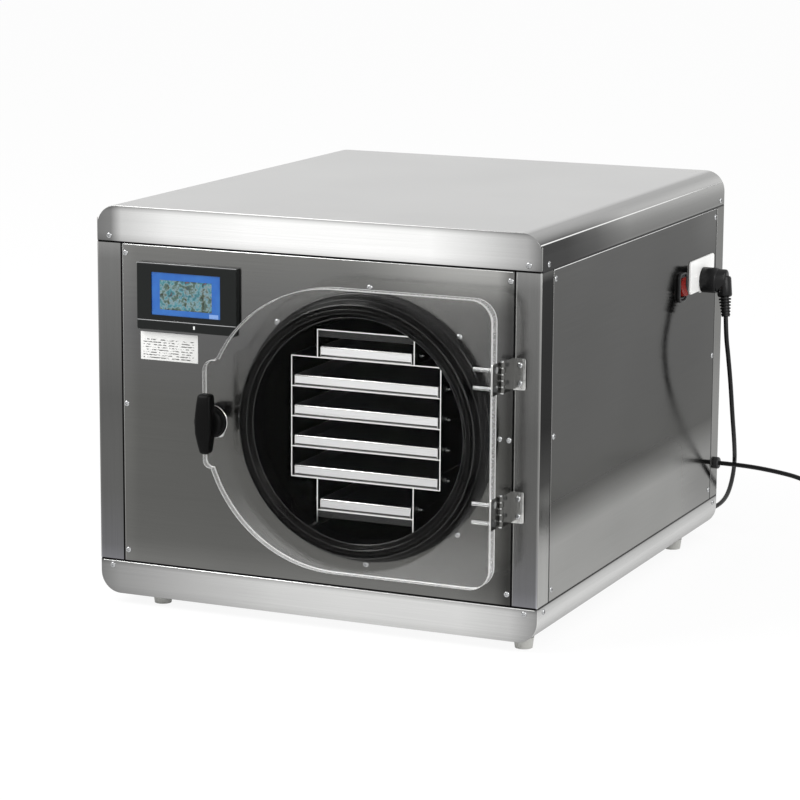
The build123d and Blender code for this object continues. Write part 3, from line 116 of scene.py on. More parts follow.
def placeFrom(tree, spot, weights=(1, 1, 1)):  # the way from a spot on the cabinet, weighted along each axis
    place = addNode(tree, "TexCoord")
    moved = addNode(tree, "VectorMath", {"operation": "SUBTRACT", 1: tuple(at(*spot))},
                    {0: place.outputs["Object"]})
    return addNode(tree, "VectorMath", {"operation": "MULTIPLY", 1: weights}, {0: moved})


# painted highlight where the gain is above 1, painted shade where it is below
def softPatch(tree, colour, middle, reach, gain):  # lifts or lowers a colour around a spot
    sized = placeFrom(tree, middle, tuple(1000 / way for way in reach))
    away = addNode(tree, "VectorMath", {"operation": "LENGTH"}, {0: sized})
    near = addNode(tree, "MapRange", {"interpolation_type": "SMOOTHSTEP", "From Min": 1.0, "From Max": 0.0,
                                      "To Min": 1.0, "To Max": gain}, {"Value": away.outputs["Value"]})
    return addNode(tree, "VectorMath", {"operation": "SCALE"}, {0: colour, "Scale": near})


# brushed or rolled metal: fine streaks along the grain and slow clouds, over painted reflection: a tone for each
# height, across and along, and for each way a face looks, with soft patches of painted highlight and painted
# shade;
# grain is in waves to a metre along each axis, so 1100 draws a brush line on each 0.9 mm. Real brush lines
# and rolling marks are under 0.1 mm, too fine to show, so all are drawn this coarse
def workedMetal(name, look):
    material, tree = newMaterial(name)
    streaks = stretched(tree, look["grain"], 4.0, 0.6)
    clouds = stretched(tree, (3.0,) * 3)
    # painted reflection: a tone for each height
    colour = toneUp(tree, look["tone"])
    # painted highlight and painted shade across the width
    if "across" in look:
        across = toneAlong(tree, "X", middleX - sideX / 1000, 800, look["across"])
        colour = addNode(tree, "VectorMath", {"operation": "MULTIPLY"}, {0: colour, 1: across})
    # painted reflection: a tone of its own for each way a face looks, and along the depth on the sides
    for direction, key in (((1, 0, 0), "paintedSideTone"), ((0, 0, 1), "paintedTopTone"), ((0, -1, 0), "paintedFrontTone")):
        if key not in look:
            continue
        turned = facing(tree, direction)
        other = toneUp(tree, look[key])
        if key == "paintedSideTone":  # both sides alike
            turned = addNode(tree, "Math", {"operation": "MAXIMUM"}, {0: turned, 1: facing(tree, (-1, 0, 0))})
            if "along" in look:
                along = toneAlong(tree, "Y", frontY, 800, look["along"])
                other = addNode(tree, "VectorMath", {"operation": "MULTIPLY"}, {0: other, 1: along})
        colour = addNode(tree, "Mix", {"data_type": "RGBA"}, {"Factor": turned, 6: colour, 7: other}).outputs[2]
    # painted highlights and painted shade in soft patches
    for middle, reach, gain in look.get("paintedPatches", []):
        colour = softPatch(tree, colour, middle, reach, gain)
    uneven = addNode(tree, "Math", {"operation": "ADD"}, {0: streaks, 1: clouds})
    # streaks and clouds together run from about 0.65 to 1.35
    level = addNode(tree, "MapRange", {"From Min": 0.65, "From Max": 1.35, "To Min": 1 - look["spread"],
                                       "To Max": 1 + look["spread"]}, {"Value": uneven})
    shade = addNode(tree, "VectorMath", {"operation": "SCALE"}, {0: colour, "Scale": level})
    rough = addNode(tree, "MapRange", {"To Min": look["roughness"] * 0.75, "To Max": look["roughness"] * 1.25},
                    {"Value": streaks})
    if "dulled" in look:  # rougher low down, but not at the rear
        ahead = toneAlong(tree, "Y", frontY, 800, [(0, 1.0), (520, 1.0), (700, 0.0), (800, 0.0)])
        rough = addNode(tree, "Math", {"operation": "MULTIPLY_ADD"},
                        {0: toneUp(tree, look["dulled"]), 1: ahead, 2: rough})
    bump = addNode(tree, "Bump", {"Strength": look["depth"], "Distance": bumpDistance}, {"Height": streaks})
    shader = addNode(tree, "BsdfPrincipled", {"Metallic": 1.0, "Specular Tint": colourOf(look.get("rim", 0.9))},
                     {"Base Color": shade, "Roughness": rough, "Normal": bump})
    addNode(tree, "OutputMaterial", links={"Surface": shader})
    return material


# moulded or cast polymer: a fine grain from the mould and a slightly uneven colour
def mouldedPolymer(name, look):
    material, tree = newMaterial(name)
    grain = stretched(tree, (1000 / look["grainMm"],) * 3)
    base = colourOf(look["colour"])
    darker = (*[c * 0.86 for c in base[:3]], 1.0)
    shade = addNode(tree, "ValToRGB", {"stops": [(0.3, darker), (0.7, base)]},
                    {"Fac": stretched(tree, (18.0,) * 3)})
    rough = addNode(tree, "MapRange", {"To Min": look["roughness"] * 0.85, "To Max": look["roughness"] * 1.15},
                    {"Value": grain})
    bump = addNode(tree, "Bump", {"Strength": look["depth"], "Distance": bumpDistance}, {"Height": grain})
    shader = addNode(tree, "BsdfPrincipled", {"IOR": 1.5, "Coat Weight": look.get("coat", 0.0),
                                              "Specular IOR Level": look.get("gloss", 0.5)},
                     {"Base Color": shade, "Roughness": rough, "Normal": bump})
    addNode(tree, "OutputMaterial", links={"Surface": shader})
    return material


# 304 sheet brushed along its length and left bare: a dark satin mirror that smears what it faces; its tones are
# painted reflection that changes with height, with a painted shadow along the door's right edge and patches of
# painted highlight and painted shade
frontSheet = workedMetal("brushed_304_sheet", {
    "tone": [(55, "#6F6F6D"), (85, "#60605E"), (150, "#5B5B59"), (280, "#5A5A58"), (380, "#606060"),
             (450, "#6C6C6B"), (497, "#767674")],
    "across": [(0, 1.0), (598, 1.0), (608, 0.72), (615, 0.46), (640, 0.46)],
    "paintedPatches": [((235, 0, 497), (200, 400, 62), 2.3), ((285, 0, 75), (90, 400, 60), 0.62),
                ((-288, 0, 300), (26, 400, 400), 1.25)],
    "rim": 0.55, "roughness": 0.16, "grain": (6.0, 6.0, 1100.0), "depth": 0.2, "spread": 0.1})
# the side panels are the same sheet with a finer brush, so they mirror more sharply; painted reflection: pale
# low down and darker above, with painted shade low at the rear and a painted highlight high at the rear
sideSheet = workedMetal("fine_brushed_304_sheet", {
    "tone": [(50, "#ACACAA"), (90, "#ABABA9"), (125, "#AFAFAD"), (158, "#80807E"), (178, "#60605E"),
             (300, "#616160"), (420, "#656564"), (500, "#6A6A69")],
    "paintedPatches": [((330, 700, 100), (900, 190, 110), 0.72), ((330, 700, 490), (900, 120, 90), 1.3)],
    "dulled": [(50, 0.32), (150, 0.3), (205, 0.12), (260, 0.0)],
    "rim": 0.55, "roughness": 0.08, "grain": (6.0, 6.0, 1300.0), "depth": 0.12, "spread": 0.1})
# the rear angles face away from the dark side of the room; painted reflection: a tone for each height, and
# paler sides
rearPostSheet = workedMetal("folded_304_rear_angle", {
    "tone": [(50, "#76767A"), (280, "#5C5C5B"), (505, "#7A7A78")],
    "paintedSideTone": [(50, "#A0A09E"), (150, "#9C9C9A"), (230, "#969694"), (300, "#8A8A88"), (505, "#8C8C8A")],
    "rim": 0.55, "roughness": 0.18, "grain": (900.0, 900.0, 6.0), "depth": 0.2, "spread": 0.1})
# folded angle: its outer face and its return get tones of their own as painted reflection, with painted
# highlights along the outer folds and painted shade high on the return
postSheet = workedMetal("folded_304_angle", {
    "tone": [(50, "#76767A"), (70, "#68686A"), (150, "#5E5E5D"), (280, "#595958"), (340, "#636362"),
             (420, "#6D6D6C"), (475, "#757574"), (505, "#8E8E8D")],
    "across": [(0, 1.8), (1.2, 1.8), (2.6, 1.0), (300, 1.0), (656.8, 1.0), (658, 2.4), (660, 2.4)],
    "paintedSideTone": [(50, "#BEBEBC"), (120, "#B2B2B0"), (150, "#9C9C9A"), (190, "#747472"), (215, "#464645"),
                 (290, "#1E1E1E"), (400, "#242424"), (485, "#2E2E2E"), (505, "#7A7A78")],
    "rim": 0.55, "roughness": 0.18, "grain": (900.0, 900.0, 6.0), "depth": 0.2, "spread": 0.1})
# covers with a dull polish; painted reflection and painted highlight: bright bands up the front with a highlight
# swept across it, and painted shade on the flanks of the deep top cover
topSheet = workedMetal("bright_polished_304_cover", {
    "tone": [(498, "#C6C6C5"), (503, "#E2E2E1"), (512, "#F6F6F5"), (542, "#F6F6F5"), (547.5, "#CCCCCB"),
             (549.5, "#8E8E8D")],
    "across": [(0, 0.2), (22, 0.24), (38, 0.64), (110, 0.9), (230, 1.04), (500, 1.04), (580, 0.74),
               (638, 0.46), (660, 0.2)],
    "along": [(0, 0.12), (90, 0.16), (200, 0.7), (330, 2.3), (755, 3.1)],
    "paintedSideTone": [(498, "#5E5E5D"), (504, "#4C4C4B"), (518, "#585857"), (532, "#6E6E6D"), (548, "#A8A8A7")],
    "paintedTopTone": [(500, "#AFAFAE"), (549.6, "#AFAFAE"), (549.95, "#EDEDEC")],
    "rim": 0.75, "roughness": 0.24, "grain": (5.0, 5.0, 800.0), "depth": 0.15, "spread": 0.06})
# the tray below has the same polish; painted reflection: it faces the floor, so its sides are painted the
# palest, with a highlight swept across its front
baseSheet = workedMetal("bright_polished_304_tray", {
    "tone": [(0, "#C4C4C3"), (12, "#D2D2D1"), (40, "#D4D4D3"), (48, "#9C9C9B")],
    "across": [(0, 0.3), (30, 0.46), (130, 0.66), (270, 0.95), (390, 1.0), (550, 1.0), (620, 0.8), (660, 0.4)],
    "paintedSideTone": [(0, "#E4E4E2"), (30, "#E9E9E8"), (44, "#CFCFCE"), (48, "#9A9A98")],
    "rim": 0.55, "roughness": 0.22, "grain": (5.0, 5.0, 800.0), "depth": 0.15, "spread": 0.08})
# rolled drum, glossy; painted shade: nearly black for the dark of the chamber that it mirrors, a little
# paler high up
drumSteel = workedMetal("rolled_304_drum", {
    "tone": [(80, "#070707"), (300, "#090909"), (430, "#161615")],
    "rim": 0.35, "roughness": 0.22, "grain": (60.0, 8.0, 60.0), "depth": 0.1, "spread": 0.25})
# pressed and pickled 430: pale, soft; painted shade: darker on the lower trays
traySteel = workedMetal("pressed_430_tray", {
    "tone": [(100, "#CECED0"), (280, "#EAEAEC"), (400, "#F7F7F9")],
    "roughness": 0.3, "grain": (12.0, 500.0, 500.0), "depth": 0.12, "spread": 0.07})
# folded rack; painted shade: grey for the dark of the drum; painted highlight: near white on the cut edges
# that face the front
rackSteel = workedMetal("folded_rack_sheet", {
    "tone": [(100, "#464644"), (420, "#50504E")], "paintedFrontTone": [(100, "#FBFBFA"), (420, "#FBFBFA")],
    "roughness": 0.3, "grain": (500.0, 9.0, 500.0), "depth": 0.2, "spread": 0.12})
# pressed leaves: blotchy from the press; painted highlight and painted shade: bright on top, paler on the
# front, dark on the sides
hingeSteel = workedMetal("pressed_hinge_steel", {
    "tone": [(150, "#8A8A88"), (380, "#949492")], "paintedSideTone": [(150, "#4E4E4C"), (380, "#4E4E4C")],
    "paintedFrontTone": [(150, "#C9C9C7"), (380, "#D4D4D2")], "paintedTopTone": [(100, "#F4F4F3"), (500, "#F4F4F3")],
    "roughness": 0.16, "grain": (500.0, 500.0, 40.0), "depth": 0.35, "spread": 0.28})
# hinge knuckles rubbed smooth by use; painted reflection: a dark grey for the dark of the room that they mirror
knuckleSteel = workedMetal("rubbed_hinge_knuckle", {
    "tone": [(100, "#5E5E5C"), (400, "#646462")],
    "rim": 0.6, "roughness": 0.2, "grain": (400.0, 400.0, 400.0), "depth": 0.2, "spread": 0.25})
# sheared edges: a little rougher than the sheet; painted highlight: paler than the sheet, so they show as light
# lines
hemSteel = workedMetal("sheared_hem_edge", {
    "tone": [(100, "#8E8E8C"), (450, "#9A9A98")],
    "roughness": 0.25, "grain": (400.0, 400.0, 12.0), "depth": 0.1, "spread": 0.2})
# painted shade: the pressed heel of a tray in dark grey, where it turns down to the dark
pressedHeel = workedMetal("pressed_tray_heel", {
    "tone": [(100, "#4C4C4B"), (450, "#5A5A59")],
    "rim": 0.6, "roughness": 0.3, "grain": (12.0, 400.0, 400.0), "depth": 0.1, "spread": 0.12})
# painted highlight: near white, so rolled rims, hems, creases and the washer's rim draw a white line
rolledRim = workedMetal("rolled_tray_rim", {
    "tone": [(100, "#FBFBFA"), (450, "#FBFBFA")],
    "roughness": 0.2, "grain": (12.0, 400.0, 400.0), "depth": 0.1, "spread": 0.05})
# bright zinc on screws and bolts: small sharp glints
zincPlate = workedMetal("bright_zinc_plate", {
    "tone": [(0, "#B4B5B6"), (600, "#B4B5B6")],
    "roughness": 0.16, "grain": (300.0, 300.0, 300.0), "depth": 0.12, "spread": 0.16})
# tumbled before plating; painted highlight: near white, so the cam and nut stay pale in the shade of the grip
satinZinc = workedMetal("satin_zinc_plate", {
    "tone": [(0, "#F4F5F6"), (600, "#F4F5F6")],
    "roughness": 0.62, "grain": (300.0, 300.0, 300.0), "depth": 0.3, "spread": 0.2})
# turned brass: warm, with tool marks round the valve
brassPlate = workedMetal("turned_brass", {
    "tone": [(0, "#B9974F"), (600, "#B9974F")],
    "roughness": 0.28, "grain": (60.0, 900.0, 60.0), "depth": 0.2, "spread": 0.1})
# drawn copper: warm, and dull from handling
copperTube = workedMetal("drawn_copper", {
    "tone": [(0, "#B4674A"), (600, "#B4674A")],
    "roughness": 0.35, "grain": (90.0, 90.0, 90.0), "depth": 0.2, "spread": 0.1})
# rolled fin stock: pale and matt
finAluminium = workedMetal("rolled_aluminium_fin", {
    "tone": [(0, "#C4C5C7"), (600, "#C4C5C7")],
    "roughness": 0.4, "grain": (40.0, 500.0, 500.0), "depth": 0.2, "spread": 0.1})

# moulded ABS with a fine spark-eroded grain: soft, even highlights
blackAbs = mouldedPolymer("moulded_black_abs", {
    "colour": "#151516", "roughness": 0.42, "grainMm": 0.9, "depth": 0.12})
# moulded bakelite: black with hardly any shine
handleBakelite = mouldedPolymer("moulded_bakelite_grip", {
    "colour": "#060606", "roughness": 0.4, "grainMm": 1.2, "depth": 0.06, "gloss": 0.08})
# smoother ABS of the screen's housing: just off black
bezelPlastic = mouldedPolymer("moulded_charcoal_bezel", {
    "colour": "#0F1211", "roughness": 0.34, "grainMm": 0.9, "depth": 0.08, "gloss": 0.2})
# urea outlet plate: hard, white and smooth
whiteUrea = mouldedPolymer("moulded_white_urea", {
    "colour": "#F7F7F5", "roughness": 0.32, "grainMm": 1.1, "depth": 0.05})
# red rocker with a clear skin: deep and glossy while it is off
redPolycarbonate = mouldedPolymer("moulded_red_polycarbonate", {
    "colour": "#7A140C", "roughness": 0.2, "grainMm": 1.4, "depth": 0.04, "coat": 0.3})
# silicone cast in a polished mould: deep black with a broad greasy sheen
blackSilicone = mouldedPolymer("cast_black_silicone", {
    "colour": "#040404", "roughness": 0.2, "grainMm": 2.6, "depth": 0.03, "gloss": 0.05})
# the same silicone where the mould left it polished
polishedSilicone = mouldedPolymer("polished_silicone_lip", {
    "colour": "#040404", "roughness": 0.1, "grainMm": 2.6, "depth": 0.02, "gloss": 0.6})
# PVC jacket of a mains lead: nearly black, slightly shiny, faintly uneven
cordJacket = mouldedPolymer("extruded_pvc_jacket", {
    "colour": "#0B0B0C", "roughness": 0.34, "grainMm": 2.2, "depth": 0.1, "gloss": 0.25})
# pale foot rubber: matt
footRubber = mouldedPolymer("moulded_foot_rubber", {
    "colour": "#B4B4B0", "roughness": 0.5, "grainMm": 1.3, "depth": 0.12})
# foam with its cut cells showing: rough and soft to the eye
foamSkin = mouldedPolymer("closed_cell_foam", {
    "colour": "#C9C2A6", "roughness": 0.8, "grainMm": 2.4, "depth": 0.5})
# sprayed enamel: black under a thin gloss
blackEnamel = mouldedPolymer("sprayed_black_enamel", {
    "colour": "#141416", "roughness": 0.32, "grainMm": 1.0, "depth": 0.1, "coat": 0.15})
# milky lens of a lamp that is off
ledWhite = mouldedPolymer("diffused_led_lens", {
    "colour": "#E4E6E4", "roughness": 0.25, "grainMm": 0.6, "depth": 0.04})


# cast sheet, clear through its faces; the sawn edge is left matt, so it scatters light and shows white,
# and one stretch of it is flame-polished and stays clear
def castAcrylic(look):
    material, tree = newMaterial("cast_clear_acrylic")
    place = addNode(tree, "TexCoord")
    turned = addNode(tree, "VectorMath", {"operation": "DOT_PRODUCT", 1: (0, 1, 0)}, {0: place.outputs["Normal"]})
    flat = addNode(tree, "Math", {"operation": "ABSOLUTE"}, {0: turned.outputs["Value"]})
    rim = addNode(tree, "MapRange", {"From Min": 0.95, "From Max": 0.6}, {"Value": flat})  # 1 on the edge
    # the polished stretch faces left and up
    shy = addNode(tree, "MapRange", {"To Min": 1.0, "To Max": look["polished"]},
                  {"Value": facing(tree, (-0.92, 0, 0.4), 0.5, 0.95)})
    shown = addNode(tree, "Math", {"operation": "MULTIPLY"}, {0: rim, 1: shy})
    corners = toneAlong(tree, "Y", frontY - look["ahead"] / 1000, look["thick"], look["corners"])
    edge = addNode(tree, "Math", {"operation": "MULTIPLY"}, {0: shown, 1: corners})
    matt = addNode(tree, "MapRange", {"To Min": look["edgeRough"] * 0.8, "To Max": look["edgeRough"] * 1.2},
                   {"Value": stretched(tree, (400.0,) * 3)})
    rough = addNode(tree, "Math", {"operation": "MULTIPLY"}, {0: edge, 1: matt})
    clear = addNode(tree, "MapRange", {"To Min": 1.0, "To Max": look["edgeClear"]}, {"Value": edge})
    glass = addNode(tree, "BsdfPrincipled", {"Base Color": "#F6F6F5", "IOR": 1.49, "Specular Tint": look["glint"]},
                    {"Roughness": rough, "Transmission Weight": clear})
    # painted sheen: a white diffuse film outside the seal, strongest low down, none inside it
    away = addNode(tree, "VectorMath", {"operation": "LENGTH"},
                   {0: placeFrom(tree, (chamberAxis[0], 0, chamberAxis[1]), (1, 0, 1))})
    outside = addNode(tree, "MapRange", {"From Min": look["seal"][0] / 1000, "From Max": look["seal"][1] / 1000},
                      {"Value": away.outputs["Value"]})
    haziness = addNode(tree, "Math", {"operation": "MULTIPLY"}, {0: outside, 1: toneUp(tree, look["paintedSheenUp"])})
    film = addNode(tree, "BsdfDiffuse", {"Color": "#FFFFFF"})
    coated = addNode(tree, "MixShader", links={0: haziness, 1: glass, 2: film})
    shadow = addNode(tree, "BsdfTransparent", {"Color": (0.95, 0.95, 0.95, 1.0)})
    ray = addNode(tree, "LightPath")
    mixed = addNode(tree, "MixShader", links={0: ray.outputs["Is Shadow Ray"], 1: coated, 2: shadow})
    addNode(tree, "OutputMaterial", links={"Surface": mixed})
    return material


def boxMask(tree, centre, half):  # 1 inside an upright box on the front
    parts = addNode(tree, "SeparateXYZ", links={"Vector": placeFrom(tree, (centre[0], 0, centre[1]))})
    inside = []
    for axis, reach in (("X", half[0]), ("Z", half[1])):
        away = addNode(tree, "Math", {"operation": "ABSOLUTE"}, {0: parts.outputs[axis]})
        inside.append(addNode(tree, "Math", {"operation": "LESS_THAN", 1: reach / 1000}, {0: away}))
    return addNode(tree, "Math", {"operation": "MULTIPLY"}, {0: inside[0], 1: inside[1]})


# lit LCD behind flat glass: a blue ground, a plain picture of muted tiles and one soft key
screen = {"ground": "#12509A", "groundLow": "#1E5CA2", "pictureAt": (-189, 432), "pictureHalf": (40, 20.5),
          "tile": (0.0267, 0.02055), "tileColours": ("#3E7078", "#5B6066"), "gap": "#141D22", "gapWide": 0.0015,
          "hues": [(0.34, "#10180F"), (0.44, "#3C4A2E"), (0.49, "#77868C"), (0.55, "#2F747E"), (0.63, "#1A2A2E"),
                   (0.7, "#7C4A50")],
          "speckled": 0.72, "keyAt": (-146, 406.5), "keyHalf": (7, 3), "key": "#6E8FC4", "glow": 0.06}


def litDisplay(look):
    material, tree = newMaterial("lit_blue_lcd")
    shown = addNode(tree, "ValToRGB", {"stops": [(0.35, look["ground"]), (0.65, look["groundLow"])]},
                    {"Fac": stretched(tree, (45.0,) * 3)})
    corner = (look["pictureAt"][0] - look["pictureHalf"][0], 0, look["pictureAt"][1] - look["pictureHalf"][1])
    parts = addNode(tree, "SeparateXYZ", links={"Vector": placeFrom(tree, corner)})
    half = addNode(tree, "Math", {"operation": "ADD", 1: look["tile"][0] / 2}, {0: parts.outputs["X"]})
    flat = addNode(tree, "CombineXYZ", links={"X": half, "Y": parts.outputs["Z"]})
    tiles = addNode(tree, "TexBrick", {"offset": 0.0, "Color1": look["tileColours"][0],
                                       "Color2": look["tileColours"][1], "Mortar": look["gap"], "Scale": 1.0,
                                       "Mortar Size": look["gapWide"], "Mortar Smooth": 0.3,
                                       "Brick Width": look["tile"][0], "Row Height": look["tile"][1]},
                    {"Vector": flat})
    hues = addNode(tree, "ValToRGB", {"stops": look["hues"]}, {"Fac": stretched(tree, (95.0,) * 3, 4.0, 0.65)})
    picture = addNode(tree, "Mix", {"data_type": "RGBA", "Factor": look["speckled"]},
                      {6: tiles, 7: hues}).outputs[2]
    key = addNode(tree, "RGB")
    key.outputs[0].default_value = colourOf(look["key"])
    for part, upper in (("picture", picture), ("key", key)):
        mask = boxMask(tree, look[part + "At"], look[part + "Half"])
        shown = addNode(tree, "Mix", {"data_type": "RGBA"}, {"Factor": mask, 6: shown, 7: upper}).outputs[2]
    shader = addNode(tree, "BsdfPrincipled", {"Roughness": 0.1, "IOR": 1.5, "Emission Strength": look["glow"]},
                     {"Base Color": shown, "Emission Color": shown})
    addNode(tree, "OutputMaterial", links={"Surface": shader})
    return material


# self-adhesive paper plate: off-white, with faint rules like an empty form
labelPlate = {"middle": (-218.4, 358.2), "wide": 88.8, "tall": 39.0, "thick": 0.25, "rim": 0.08, "margin": 5,
              "ruleMm": 3.6, "ruled": 0.42, "broken": 0.49, "fibre": "#CFCFCD", "paper": "#DADAD8",
              "rule": "#5A5A59"}


def ruledPaper(look):
    material, tree = newMaterial("printed_paper_label")
    place = addNode(tree, "TexCoord")
    parts = addNode(tree, "SeparateXYZ", links={"Vector": place.outputs["Object"]})
    steps = addNode(tree, "Math", {"operation": "MULTIPLY", 1: 1000 / look["ruleMm"]}, {0: parts.outputs["Z"]})
    wave = addNode(tree, "Math", {"operation": "FRACT"}, {0: steps})
    line = addNode(tree, "Math", {"operation": "LESS_THAN", 1: look["ruled"]}, {0: wave})
    inked = addNode(tree, "Math", {"operation": "GREATER_THAN", 1: look["broken"]},
                    {0: stretched(tree, (260.0, 1.0, 500.0))})
    inner = boxMask(tree, (look["middle"][0] - 1, look["middle"][1] - 3),
                    (look["wide"] / 2 - look["margin"], look["tall"] / 2 - look["margin"]))
    drawn = addNode(tree, "Math", {"operation": "MULTIPLY"}, {0: line, 1: inked})
    drawn = addNode(tree, "Math", {"operation": "MULTIPLY"}, {0: drawn, 1: inner})
    paper = addNode(tree, "ValToRGB", {"stops": [(0.3, look["fibre"]), (0.7, look["paper"])]},
                    {"Fac": stretched(tree, (900.0,) * 3)})
    ink = addNode(tree, "RGB")
    ink.outputs[0].default_value = colourOf(look["rule"])
    shown = addNode(tree, "Mix", {"data_type": "RGBA"}, {"Factor": drawn, 6: paper, 7: ink}).outputs[2]
    shader = addNode(tree, "BsdfPrincipled", {"Roughness": 0.45, "IOR": 1.45}, {"Base Color": shown})
    addNode(tree, "OutputMaterial", links={"Surface": shader})
    return material


# the ramp by height at the end is a painted sheen outside the seal
clearAcrylic = castAcrylic({
    "edgeRough": 0.55, "edgeClear": 0.5, "polished": 0.12, "ahead": 60, "thick": 20, "seal": (186, 189),
    "corners": [(0, 1.0), (3.6, 1.0), (5.2, 0.5), (15.2, 0.45), (16.8, 0.95), (20, 0.95)],
    "paintedSheenUp": [(0, 0.045), (120, 0.04), (180, 0.008), (400, 0.004), (560, 0.02)], "glint": (0.02, 0.02, 0.02, 1.0)})
screenBlue = litDisplay(screen)
labelPaper = ruledPaper(labelPlate)

finishes = {
    topSheet: ["top_cover"],
    baseSheet: ["base_tray"],
    frontSheet: ["front_panel", "back_panel"],
    sideSheet: ["right_side_panel", "left_side_panel"],
    postSheet: ["front_left_post", "front_right_post"],
    rearPostSheet: ["rear_left_post", "rear_right_post"],
    drumSteel: ["chamber_drum"],
    traySteel: ["tray_1", "tray_2", "tray_3", "tray_4", "tray_5", "tray_6", "vacuum_port"],
    rackSteel: ["rack_frame"],
    hingeSteel: ["upper_hinge_post_leaf", "lower_hinge_post_leaf", "upper_hinge_door_leaf",
                 "lower_hinge_door_leaf", "latch_keeper"],
    zincPlate: ["case_screws", "flange_screws", "rack_bolts", "hinge_pins", "door_edge_bolts", "hinge_screws",
                "latch_spindle", "drain_lever"],
    satinZinc: ["latch_cam", "latch_nut"],
    brassPlate: ["drain_valve"],
    copperTube: ["evaporator_coil"],
    finAluminium: ["condenser"],
    blackAbs: ["rack_cross_bars", "switch_housing", "cord_gland", "fan_rotor"],
    handleBakelite: ["latch_handle", "latch_washer"],
    bezelPlastic: ["touchscreen_bezel"],
    whiteUrea: ["outlet_plate"],
    redPolycarbonate: ["switch_rocker"],
    blackSilicone: ["door_gasket"],
    cordJacket: ["pump_plug", "pump_connector", "supply_plug", "pump_lead", "pump_lead_coil", "supply_cord",
                 "supply_cord_coil"],
    footRubber: ["feet"],
    foamSkin: ["chamber_insulation"],
    blackEnamel: ["fan_shroud", "compressor"],
    clearAcrylic: ["door_plate"],
    screenBlue: ["touchscreen_display"],
}


def dress(thing, material):  # every face of the object in one finish
    thing.data.materials.clear()
    thing.data.materials.append(material)


for finish, nodes in finishes.items():
    for node in nodes:
        dress(bpy.data.objects[node], finish)
print("finishes done")

cameraView = {"place": (1749.463, -3647.996, 1104.104), "turn": 23.949, "tip": 11.193, "roll": 0.369,
              "lens": 137.38, "sensor": 36.0, "reach": 60}


def addCamera(view):
    lens = bpy.data.cameras.new("camera")
    lens.lens = view["lens"]
    lens.sensor_width = view["sensor"]
    lens.clip_end = view["reach"]
    camera = bpy.data.objects.new("camera", lens)
    bpy.context.collection.objects.link(camera)
    turn = Matrix.Rotation(math.radians(view["turn"]), 4, "Z")
    tip = Matrix.Rotation(math.radians(90 - view["tip"]), 4, "X")
    roll = Matrix.Rotation(math.radians(view["roll"]), 4, "Z")
    camera.matrix_world = Matrix.Translation(at(*view["place"])) @ turn @ tip @ roll
    bpy.context.scene.camera = camera


room = {"floorSize": 60.0, "floorGlow": 0.9, "keyPlace": (-2.6, -2.4, 3.4), "keySize": 2.6, "keyPower": 150.0,
        "fillPlace": (3.4, -1.6, 2.4), "fillSize": 2.2, "fillPower": 72.0, "sky": 0.75, "aim": (0, 0, 0.3)}


def seenRays(tree):  # 1 for what is seen straight on, in a mirror or through the door
    ray = addNode(tree, "LightPath")
    seen = addNode(tree, "Math", {"operation": "MAXIMUM"},
                   {0: ray.outputs["Is Camera Ray"], 1: ray.outputs["Is Glossy Ray"]})
    return addNode(tree, "Math", {"operation": "MAXIMUM"}, {0: seen, 1: ray.outputs["Is Transmission Ray"]})


def addRoom(values):
    bpy.ops.mesh.primitive_plane_add(size=values["floorSize"], location=(0, 0, 0))
    floor = bpy.context.object
    floor.name = "floor"
    material, tree = newMaterial("white_paper_sweep")
    share = addNode(tree, "Math", {"operation": "MULTIPLY", 1: values["floorGlow"]}, {0: seenRays(tree)})
    paper = addNode(tree, "BsdfDiffuse", {"Color": "#FFFFFF"})
    glow = addNode(tree, "Emission", {"Color": "#FFFFFF", "Strength": 1.0})
    mixed = addNode(tree, "MixShader", links={0: share, 1: paper, 2: glow})
    addNode(tree, "OutputMaterial", links={"Surface": mixed})
    dress(floor, material)
    world = bpy.data.worlds.new("studio")
    bpy.context.scene.world = world
    world.use_nodes = True
    tree = world.node_tree
    tree.nodes.clear()
    level = addNode(tree, "MapRange", {"To Min": values["sky"], "To Max": 1.0}, {"Value": seenRays(tree)})
    glow = addNode(tree, "Background", {"Color": "#FFFFFF"}, {"Strength": level})
    addNode(tree, "OutputWorld", links={"Surface": glow})
    for name in ("key", "fill"):
        lamp = bpy.data.lights.new(name, "AREA")
        lamp.size = values[name + "Size"]
        lamp.energy = values[name + "Power"]
        holder = bpy.data.objects.new(name, lamp)
        bpy.context.collection.objects.link(holder)
        place = Vector(values[name + "Place"])
        aim = (Vector(values["aim"]) - place).to_track_quat("-Z", "Y")
        holder.matrix_world = Matrix.Translation(place) @ aim.to_matrix().to_4x4()


addCamera(cameraView)
addRoom(room)
bpy.context.scene.view_settings.view_transform = "Standard"
print("camera and room done")


def bare(add, **shape):  # a primitive on its own, with nothing else selected
    bpy.ops.object.select_all(action="DESELECT")
    add(**shape)
    return bpy.context.object


def pick(piece, kind, test):  # in edit mode, selects the edges or faces that pass
    bpy.ops.mesh.select_mode(type={"edges": "EDGE", "faces": "FACE"}[kind])
    mesh = bmesh.from_edit_mesh(piece.data)
    for vertex in mesh.verts:
        vertex.select_set(False)
    mesh.select_flush(False)
    for part in getattr(mesh, kind):
        if test(part):
            part.select_set(True)
    bmesh.update_edit_mesh(piece.data)


def bevelled(piece, test, width, segments):  # on the piece just made, rounds the edges whose middles pass
    bpy.ops.object.mode_set(mode="EDIT")
    pick(piece, "edges", lambda edge: test((edge.verts[0].co + edge.verts[1].co) / 2))
    bpy.ops.mesh.bevel(offset=width, segments=segments, affect="EDGES")
    bpy.ops.object.mode_set(mode="OBJECT")


